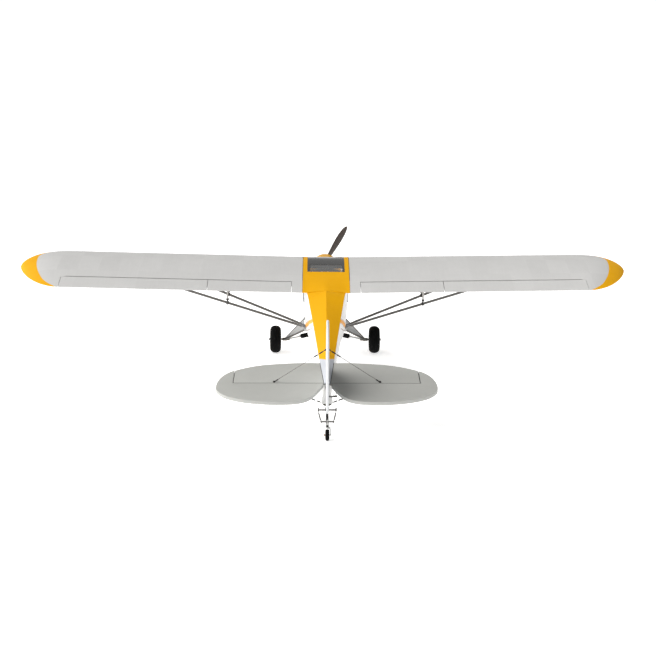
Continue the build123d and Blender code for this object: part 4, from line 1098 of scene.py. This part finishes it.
FIN = smooth_curve([(-766, -101), (-786, -87), (-806, -58), (-832, -6), (-858, 46), (-878, 71), (-890, 80), (-897.0, 81.8)], 8) + [(-899.8, 81.8), (-899.8, -117)] + [(-766, -117)]
make("fin_plate", *plate(FIN, "x", -4, 4), M_FIN, "airframe", ["fin"], "fuselage_white", bevel=(3.7, 6, 50), angle=30)
RH = -905.0
RUD = [(RH + 3.2, -168.8), (RH + 3.2, 83.6), (-884, 83.6), (-875, 86), (-873.5, 92)] + smooth_curve([(-876, 97), (-888, 103), (-908, 106), (-944, 101), (-985, 78), (-1015, 35), (-1034, -25), (-1040, -72), (-1031, -118), (-1009, -148), (-980, -163), (-958, -169.5), (-930, -171.3), (RH - 2, -169.5)], 8)
make("rudder_plate", *plate(RUD, "x", -4, 4), M_FIN, "rudder", ["rudder"], "fuselage_white", bevel=(3.7, 6, 50), angle=30)
# dark strips in the elevator hinge gaps, the balance-horn gaps and the fin-rudder gap: painted shade at the bottom of
# each gap
hs = [boxy(s * 14 if s > 0 else -284.5, 284.5 if s > 0 else -14, -887.9, -886.0, STAB_Z - 2.6, STAB_Z + 2.6) for s in (-1, 1)]
hs += [boxy(s * 14 if s > 0 else -285.5, 285.5 if s > 0 else -14, -888.7, -885.2, STAB_Z + q * 3.7 - 0.9, STAB_Z + q * 3.7 + 0.9) for s in (-1, 1) for q in (-1, 1)]
hs += [boxy(min(s * 284.6, s * 286.4), max(s * 284.6, s * 286.4), -886, -794, STAB_Z - 2.6, STAB_Z + 2.6) for s in (-1, 1)]
hs.append(boxy(-1.6, 1.6, -901.6, -899.0, -116, 60))
V, F = join(*hs)
make("gap_shade_strips", V, F, M_PANEL, "airframe", slot="wire_dark")
V, F = join(bar((-29, -945, -167), (29, -945, -167), 2.4, 14), bar((-27, -945, -172), (-27, -945, -161), 2.0, 12), bar((27, -945, -172), (27, -945, -161), 2.0, 12),
            boxy(3, 31, -910, -905, -141.2, -138.8), boxy(16, 31, -906, -901.2, -141.2, -138.8))
make("rudder_tiller_bar", V, F, M_WIRE, "rudder", bevel=None)

# brace wires with turnbuckles
w_, t_ = [], []
for s in (-1, 1):
    top, outer, low = np.array((s * 4.0, -880, 4.0)), np.array((s * 162.0, -880, STAB_Z + 5.5)), np.array((s * 13.0, -880, -174.0))
    outb = np.array((s * 162.0, -880, STAB_Z - 5.5))
    w_ += [bar(top, outer, 0.75, 8), bar(outb, low, 0.75, 8)]
    d = unit(outer - top)
    for a, b in ((10, 26), (30, 44)):
        t_.append(turned([(0, 0.9), (2, 2.1), (b - a - 2, 2.1), (b - a, 0.9)], top + d * a, top + d * b, 12))
    t_.append(turned([(0, 3.0), (3, 3.0), (5, 1.6), (9, 1.2)], top, top + d * 12, 12))
    t_.append(turned([(0, 1.0), (3, 1.9), (10, 1.9), (13, 1.0)], outer - d * 16, outer, 12))
    d2 = unit(low - outb)
    n2 = float(np.linalg.norm(low - outb))
    for a, b in ((n2 - 40, n2 - 24), (n2 - 20, n2 - 6)):
        t_.append(turned([(0, 0.9), (2, 2.1), (b - a - 2, 2.1), (b - a, 0.9)], outb + d2 * a, outb + d2 * b, 12))
    t_.append(turned([(0, 4.2), (1.2, 4.2), (1.8, 2.6), (4.0, 2.6), (4.4, 1.6)], (s * 162, -880, STAB_Z + 4.9), (s * 162, -880, STAB_Z + 10), 16))
    t_.append(turned([(0, 4.2), (1.2, 4.2), (1.8, 2.6), (4.0, 2.6)], (s * 162, -880, STAB_Z - 4.9), (s * 162, -880, STAB_Z - 10), 16))
V, F = join(*w_)
make("brace_wire_lines", V, F, M_WIRE, "airframe", ["tail_brace_wires"], "wire_dark")
V, F = join(*t_)
make("turnbuckles", V, F, M_DSTEEL, "airframe", slot="wire_dark")

# ------------------------------------------------------------------ tail wheel gear
PIV_Y, LEAF_Z = -1018.0, -183.5
TWY, TWZ, TWR, TWW = -1033.6, -207.5, 17.2, 12.0
UP = np.array((0, ST, CT))


def onp(h):
    return np.array((0, PIV_Y, LEAF_Z)) + UP * h


def cheek():
    """Curved one-sided fork: a bent strip from the crown, out round the tyre, down to the axle."""
    path = [onp(-5.0) + np.array((0, 0, 0)), onp(-6.6) + np.array((3.5, -1, 0)), (7.6, -1021.5, -191.5), (9.6, -1025, -197), (10.0, -1029.5, -203), (9.4, TWY, TWZ)]
    path = smooth_curve(path, 6)
    loops = []
    P = [np.asarray(p, float) for p in path]
    for i, p in enumerate(P):
        d = unit(P[min(i + 1, len(P) - 1)] - P[max(i - 1, 0)])
        u = unit(np.array((0, 1.0, 0)) - d * d[1])
        w = np.cross(d, u)
        k = 4.2 if i < len(P) - 4 else 4.6
        loops.append([p + u * k + w * 0.8, p - u * k + w * 0.8, p - u * k - w * 0.8, p + u * k - w * 0.8])
    return loft(loops)


V, F = join(turned([(0, 2.0), (24, 2.0)], onp(-8), onp(16), 16), turned([(0, 4.0), (1.7, 4.0)], onp(3.3), onp(6), 18), turned([(0, 4.2), (4.6, 4.4), (5.2, 3.6)], onp(-8.3), onp(-3), 18), turned([(0, 3.6), (3, 3.6), (3.6, 2.4)], onp(13.5), onp(18), 6),
            cheek(), bar((-10, TWY, TWZ), (11.5, TWY, TWZ), 1.5), turned([(0, 5.2), (1.6, 5.2)], (9.0, TWY, TWZ), (10.8, TWY, TWZ), 18))
make("tail_fork_bracket", V, F, M_STEEL, "tail_fork", ["tail_fork"], "steel", angle=30)
V, F = join(turned([(0, 3.2), (3.2, 3.2)], (-10.2, TWY, TWZ), (-7.0, TWY, TWZ), 14))
make("tail_wheel_collar", V, F, M_BRASS, "tail_fork", slot="steel", bevel=(0.3, 2))
arm = smooth_curve([(-20, -2.2), (-14, -2.8), (0, -4.2), (14, -2.8), (20, -2.2), (20.8, 0), (20, 2.2), (14, 2.8), (0, 4.2), (-14, 2.8), (-20, 2.2), (-20.8, 0)], 3, True)
c0 = onp(12)
u2 = np.cross(UP, (1, 0, 0))
loops = [[c0 + np.array((a, 0, 0)) + u2 * b + UP * h for a, b in arm] for h in (-1.2, 1.2)]
V, F = join(loft(loops), turned([(0, 1.6), (7, 1.6)], c0 + np.array((-18, 0, 0)) - UP * 4, c0 + np.array((-18, 0, 0)) + UP * 4, 10), turned([(0, 1.6), (7, 1.6)], c0 + np.array((18, 0, 0)) - UP * 4, c0 + np.array((18, 0, 0)) + UP * 4, 10))
make("tail_steering_arm", V, F, M_WIRE, "tail_fork", slot="steel")
prof = [(-5.0, 8.0), (-5.8, 9.2), (-6.0, 12.0), (-5.6, 14.2), (-4.4, 16.0), (-2.4, 17.0), (0, 17.2), (2.4, 17.0), (4.4, 16.0), (5.6, 14.2), (6.0, 12.0), (5.8, 9.2), (5.0, 8.0)]
V, F = turned([(x + 6, r) for x, r in prof], (-6, TWY, TWZ), (6, TWY, TWZ), 40)
make("tail_tyre", V, F, M_TYRE, "tail_wheel", ["tail_wheel"], "tyre_black")
V, F = turned([(0, 2.2), (0.2, 4.0), (0.8, 7.4), (1.2, 8.2), (10.8, 8.2), (11.2, 7.4), (11.8, 4.0), (12, 2.2)], (-6, TWY, TWZ), (6, TWY, TWZ), 28)
make("tail_hub", V, F, M_HUB, "tail_wheel", slot="hub_grey")


def coil(a, b, r, turns, wire, n=10, per=14):
    a, b = np.asarray(a, float), np.asarray(b, float)
    d = unit(b - a)
    u, w = basis(d)
    L = float(np.linalg.norm(b - a))
    N = int(turns * per)
    path = [a + d * L * i / N + r * (u * math.cos(2 * math.pi * turns * i / N) + w * math.sin(2 * math.pi * turns * i / N)) for i in range(N + 1)]
    return tube(path, wire, 6)


for s, name in ((-1, "left"), (1, "right")):
    a, b = np.array((s * 27.0, -947.5, -170.5)), np.array((s * 19.0, -1014.0, -172.5))
    d = unit(b - a)
    V, F = join(bar((s * 27.0, -945.0, -169.5), a + d * 14, 0.8, 8), coil(a + d * 12, b - d * 12, 1.5, 20, 0.42), bar(b - d * 14, (s * 18.0, -1016.0, -171.5), 0.8, 8))
    make("steering_coil_" + name, V, F, M_WIRE, "steering_spring_" + name, ["steering_spring_" + name], "steel")

# leaf spring: gentle bow, two leaves and a clamp
LP = [(-838, -181.2), (-905, -177), (-935, -177.9), (-960, -179.8), (-990, -182), (PIV_Y - 8, -184.2)]
LS = smooth_curve([(0, y, z) for y, z in LP], 5)
loops = []
for x, y, z in LS:
    loops.append([(-4, y, z + 1.5), (4, y, z + 1.5), (4, y, z - 1.5), (-4, y, z - 1.5)])
V, F = loft(loops)
lower = [[(-3.6, y, z - 1.7), (3.6, y, z - 1.7), (3.6, y, z - 4.0), (-3.6, y, z - 4.0)] for x, y, z in LS if y > -975]
V2, F2 = loft(lower)
V3, F3 = join((V, F), (V2, F2), boxy(-6, 6, -920, -912, -183.5, -173.5), boxy(-6, 6, -872, -864, -186.5, -176))
make("tail_leaf", V3, F3, M_DSTEEL, "airframe", ["tail_leaf_spring"], "wire_dark", bevel=(0.5, 2, 50))

# ------------------------------------------------------------------ main undercarriage
WX, WY, WZ = 185.0, -31.1, -305.4
LF, LR, AP = (74.0, 40.0, -246.0), (74.0, -100.0, -240.0), (150.0, WY, WZ)
SI, SO = (15.0, -40.0, -272.0), (136.0, WY, -304.0)
leg_d = unit(np.array(LF) - np.array(LR))
for s, name in ((-1, "left"), (1, "right")):
    f, r, a = np.array(mx(LF, s)), np.array(mx(LR, s)), np.array(mx(AP, s))
    parts = [bar(f, a, 3.5, 18), bar(r, a, 3.5, 18)]
    for p in (f, r):
        parts.append(turned([(0, 4.2), (0.8, 5), (13.2, 5), (14, 4.2)], p - leg_d * 7, p + leg_d * 7, 20))
    parts += [turned([(0, 5.2), (2, 6.0), (14, 6.0), (17, 4.6), (19, 4.6)], (s * 143, WY, WZ), (s * 170, WY, WZ), 22), bar((s * 146, WY, WZ), (s * 209, WY, WZ), 2.5, 14)]
    parts += [boxy(min(s * 132, s * 147), max(s * 132, s * 147), WY + h - 0.8, WY + h + 0.8, -308, -299) for h in (-5, 5)]
    parts.append(turned([(0, 3.4), (0.8, 3.4), (1.0, 1.8), (12, 1.8), (12.2, 3.0), (13, 3.0)], (s * SO[0], SO[1] - 6.5, SO[2]), (s * SO[0], SO[1] + 6.5, SO[2]), 14))
    parts.append(turned([(0, 4.5), (2.4, 4.5)], (s * 207.4, WY, WZ), (s * 209.8, WY, WZ), 6))
    V, F = join(*parts)
    make("gear_leg_tubes_" + name, V, F, M_STRUT, "gear_leg_" + name, ["gear_leg_" + name], "strut_grey", angle=35)
    # cuff fairing, slightly pillowed between the tubes
    nrm = unit(np.cross(r - f, a - f))
    N = 12
    grid = []
    for i in range(N + 1):
        t = i / N
        p0, p1 = f + (a - f) * t * 0.93, r + (a - r) * t * 0.93
        p0, p1 = p0 + (a - f) * 0.06, p1 + (a - r) * 0.06
        for j in range(N + 1):
            u = j / N
            puff = 2.4 * math.sin(math.pi * u) * math.sin(math.pi * min(max(t, 0.02), 0.98)) ** 0.5
            grid.append((p0 + (p1 - p0) * u, puff))
    top = [p + nrm * (0.9 + q) for p, q in grid]
    bot = [p - nrm * (0.9 + q) for p, q in grid]
    V = np.array(top + bot)
    o = (N + 1) ** 2
    F = []
    for i in range(N):
        for j in range(N):
            A, B, C, D = i * (N + 1) + j, i * (N + 1) + j + 1, (i + 1) * (N + 1) + j + 1, (i + 1) * (N + 1) + j
            F += [(A, B, C, D), (o + D, o + C, o + B, o + A)]
    rim = [j for j in range(N + 1)] + [(i + 1) * (N + 1) + N for i in range(N)] + [N * (N + 1) + j for j in range(N - 1, -1, -1)] + [i * (N + 1) for i in range(N - 1, 0, -1)]
    for k in range(len(rim)):
        p, q = rim[k], rim[(k + 1) % len(rim)]
        F.append((p, q, o + q, o + p))
    make("gear_cuff_" + name, V, F, M_GREYPL, "gear_leg_" + name, slot="tail_silver", angle=40)
    # shock strut: bungee-wound sleeve
    si, so = np.array(mx(SI, s)), np.array(mx(SO, s))
    d = unit(so - si)
    n_ = float(np.linalg.norm(so - si))
    prof = [(6, 4.5), (7, 6.0)]
    t = 8.0
    while t < n_ - 49:
        prof += [(t, 8.3), (t + 1.1, 9.1), (t + 2.2, 8.3)]
        t += 2.6
    prof += [(n_ - 47.5, 6.0), (n_ - 46.5, 4.4)]
    V, F = join(turned(prof, si, so, 22))
    make("bungee_wrap_" + name, V, F, M_BUNGEE, "shock_sleeve_" + name, ["shock_sleeve_" + name], "bungee_black", angle=60)
    V, F = join(turned([(0, 4.5), (10, 4.5)], (si[0], si[1] - 5, si[2]), (si[0], si[1] + 5, si[2]), 18), bar(si, si + d * 9, 3, 12), turned([(0, 4.0), (0.6, 4.6), (4.4, 4.6), (5, 4.0)], si + d * (n_ - 46.4), si + d * (n_ - 40), 18))
    make("shock_sleeve_ends_" + name, V, F, M_STEEL, "shock_sleeve_" + name, slot="steel")
    # wheel: tundra tyre with sidewall steps, turned hub with five bolts
    tp = [(-9.0, 25.5), (-12.5, 26.0), (-15.5, 27.0), (-17.8, 29.0), (-19.4, 32.0), (-20.0, 35.5), (-19.6, 39.0), (-18.4, 42.2), (-17.7, 43.4), (-17.3, 43.5), (-15.6, 45.8), (-13.0, 47.9), (-9.6, 49.6), (-5.4, 50.7), (-0.8, 51.0), (-0.5, 50.6),
          (0.5, 50.6), (0.8, 51.0), (5.4, 50.7), (9.6, 49.6), (13.0, 47.9), (15.6, 45.8), (17.3, 43.5), (17.7, 43.4), (18.4, 42.2), (19.6, 39.0), (20.0, 35.5), (19.4, 32.0), (17.8, 29.0), (15.5, 27.0), (12.5, 26.0), (9.0, 25.5)]
    V, F = turned([(x + 20, r_) for x, r_ in tp], (s * WX - 20, WY, WZ), (s * WX + 20, WY, WZ), 72)
    make("tundra_tyre_" + name, V, F, M_TYRE, "main_wheel_" + name, ["tyre_" + name], "tyre_black", angle=50)
    hp_ = [(0, 5.5), (0.5, 7), (4, 7.4), (7, 9), (8.2, 14), (7.0, 20), (5.6, 24.6), (4.8, 26.2), (6.0, 26.8), (24.0, 26.8), (25.2, 26.2), (24.4, 24.6), (23.0, 20), (21.8, 14), (23, 9), (26, 7.4), (29.5, 7), (30, 5.5)]
    V, F = turned(hp_, (s * WX - 15, WY, WZ), (s * WX + 15, WY, WZ), 48)
    bolts = []
    for k in range(5):
        q = 2 * math.pi * k / 5
        c = np.array((s * WX + s * 7.5, WY + 15 * math.cos(q), WZ + 15 * math.sin(q)))
        bolts.append(turned([(0, 1.8), (1.6, 1.8), (2.2, 1.2)], c - np.array((s * 1.5, 0, 0)), c + np.array((s * 3, 0, 0)), 6))
    V, F = join((V, F), *bolts)
    make("wheel_hub_disc_" + name, V, F, M_HUB, "main_wheel_" + name, ["wheel_hub_" + name], "hub_grey", angle=40)

# ------------------------------------------------------------------ propeller
PY, PZ, PR, LEAN = 283.0, -110.0, 174.0, math.radians(29.0)
rad = [10, 17, 28, 42, 60, 78, 96, 114, 131, 145, 156, 164.5, 170.5, 173.7]
cho = [17, 19, 20.5, 22, 24, 25.6, 26.6, 27.0, 25.6, 23.0, 19.4, 15, 9.5, 3.5]
thk = [11, 9.8, 8.6, 7.4, 6.0, 5.2, 4.6, 4.1, 3.6, 3.2, 2.8, 2.4, 2.0, 1.2]
pit = [52, 47, 41, 35, 28.5, 23.5, 20, 17.5, 15.5, 14, 13, 12.3, 12, 12]
parts = []
for fl in (1, -1):
    d = np.array((fl * math.sin(LEAN), 0, fl * math.cos(LEAN)))
    t = np.array((fl * math.cos(LEAN), 0, -fl * math.sin(LEAN)))
    loops = []
    for r, c, h, p in zip(rad, cho, thk, pit):
        a = math.radians(p)
        cd = t * math.cos(a) + np.array((0, 1.0, 0)) * math.sin(a)
        nd_ = -t * math.sin(a) + np.array((0, 1.0, 0)) * math.cos(a)
        ctr = np.array((0, PY, PZ)) + d * r - cd * c * 0.06
        L = []
        for q in np.linspace(0, 2 * math.pi, 20, endpoint=False):
            u = math.cos(q)
            v = math.sin(q) * (1 - 0.25 * u)
            L.append(ctr + cd * (c / 2) * u + nd_ * (h / 2) * (v if v > 0 else v * 0.45))
        loops.append(L)
    parts.append(loft(loops))
parts.append(turned([(0, 11), (1, 12.8), (15, 12.8), (16, 11.5)], (0, 275, PZ), (0, 292, PZ), 28))
V, F = join(*parts)
make("propeller_blades", V, F, M_PROP, "propeller", ["propeller"], "prop_brown", angle=40)
V, F = join(turned([(0, 9.0), (1.2, 9.0), (1.4, 7.4), (6.0, 7.4), (7.0, 6.0)], (0, 291, PZ), (0, 299, PZ), 6), turned([(0, 9.6), (0.8, 9.6)], (0, 290.9, PZ), (0, 292, PZ), 24))
make("prop_nut", V, F, M_ALU, "propeller", slot="motor_alloy")

# ------------------------------------------------------------------ stage, light, camera
me = bpy.data.meshes.new("floor")
me.from_pydata([(-150, -150, -0.0005), (150, -150, -0.0005), (150, 150, -0.0005), (-150, 150, -0.0005)], [], [(0, 1, 2, 3)])
floor = bpy.data.objects.new("floor", me)
bpy.context.scene.collection.objects.link(floor)
nd = Nodes("floor_white")
fn = nd.noise(3.0, 3.0)
nd.done(nd.scale_col((0.92, 0.92, 0.92), nd.remap(fn, 0.3, 0.7, 0.995, 1.0)), 0.7, Specular_IOR_Level=0.1, Emission_Color=(1, 1, 1, 1), Emission_Strength=0.60)
me.materials.append(nd.m)

bpy.context.scene.view_settings.view_transform = "Standard"
world = bpy.data.worlds.new("studio")
bpy.context.scene.world = world
world.use_nodes = True
wt = world.node_tree
bg = wt.nodes["Background"]
bg.inputs[0].default_value = (1.0, 1.0, 1.0, 1)
wc = wt.nodes.new("ShaderNodeTexCoord")
ws = wt.nodes.new("ShaderNodeSeparateXYZ")
wr = wt.nodes.new("ShaderNodeMapRange")
wr.interpolation_type = "SMOOTHSTEP"
for k_, v_ in (("From Min", 0.06), ("From Max", 0.30), ("To Min", 1.05), ("To Max", 0.27)):
    wr.inputs[k_].default_value = v_
wt.links.new(wc.outputs["Generated"], ws.inputs[0])
wt.links.new(ws.outputs[2], wr.inputs["Value"])
wt.links.new(wr.outputs[0], bg.inputs[1])

sun_d = bpy.data.lights.new("key", "SUN")
sun_d.energy = 4.1
sun_d.angle = math.radians(75)
sun_d.color = (1.0, 0.985, 0.965)
sun = bpy.data.objects.new("key", sun_d)
bpy.context.scene.collection.objects.link(sun)
sun.rotation_mode = "QUATERNION"
sun.rotation_quaternion = Vector((math.cos(math.radians(39)), 0.12, -math.sin(math.radians(39)))).to_track_quat("-Z", "Y")

cam_d = bpy.data.cameras.new("camera")
cam = bpy.data.objects.new("camera", cam_d)
bpy.context.scene.collection.objects.link(cam)
bpy.context.scene.camera = cam
az, el, roll = math.radians(2.84), math.radians(13.77), math.radians(0.96)
back = Vector((-math.sin(az) * math.cos(el), -math.cos(az) * math.cos(el), math.sin(el)))
T = Vector((0.16286, -0.400 + SHIFT / 1000.0, 0.20996))
fw = -back
right = fw.cross(Vector((0, 0, 1))).normalized()
up = right.cross(fw).normalized()
r2 = right * math.cos(roll) + up * math.sin(roll)
u2 = up * math.cos(roll) - right * math.sin(roll)
m = Matrix((r2, u2, back)).transposed()
cam.matrix_world = Matrix.Translation(T + back * 4.2) @ m.to_4x4()
cam_d.sensor_width = 36.0
cam_d.lens = 1231.41 / 656.0 * 36.0
cam_d.shift_x = -(373.94 - 328.0) / 656.0
cam_d.shift_y = (324.34 - 328.0) / 656.0
cam_d.clip_start, cam_d.clip_end = 0.1, 100.0
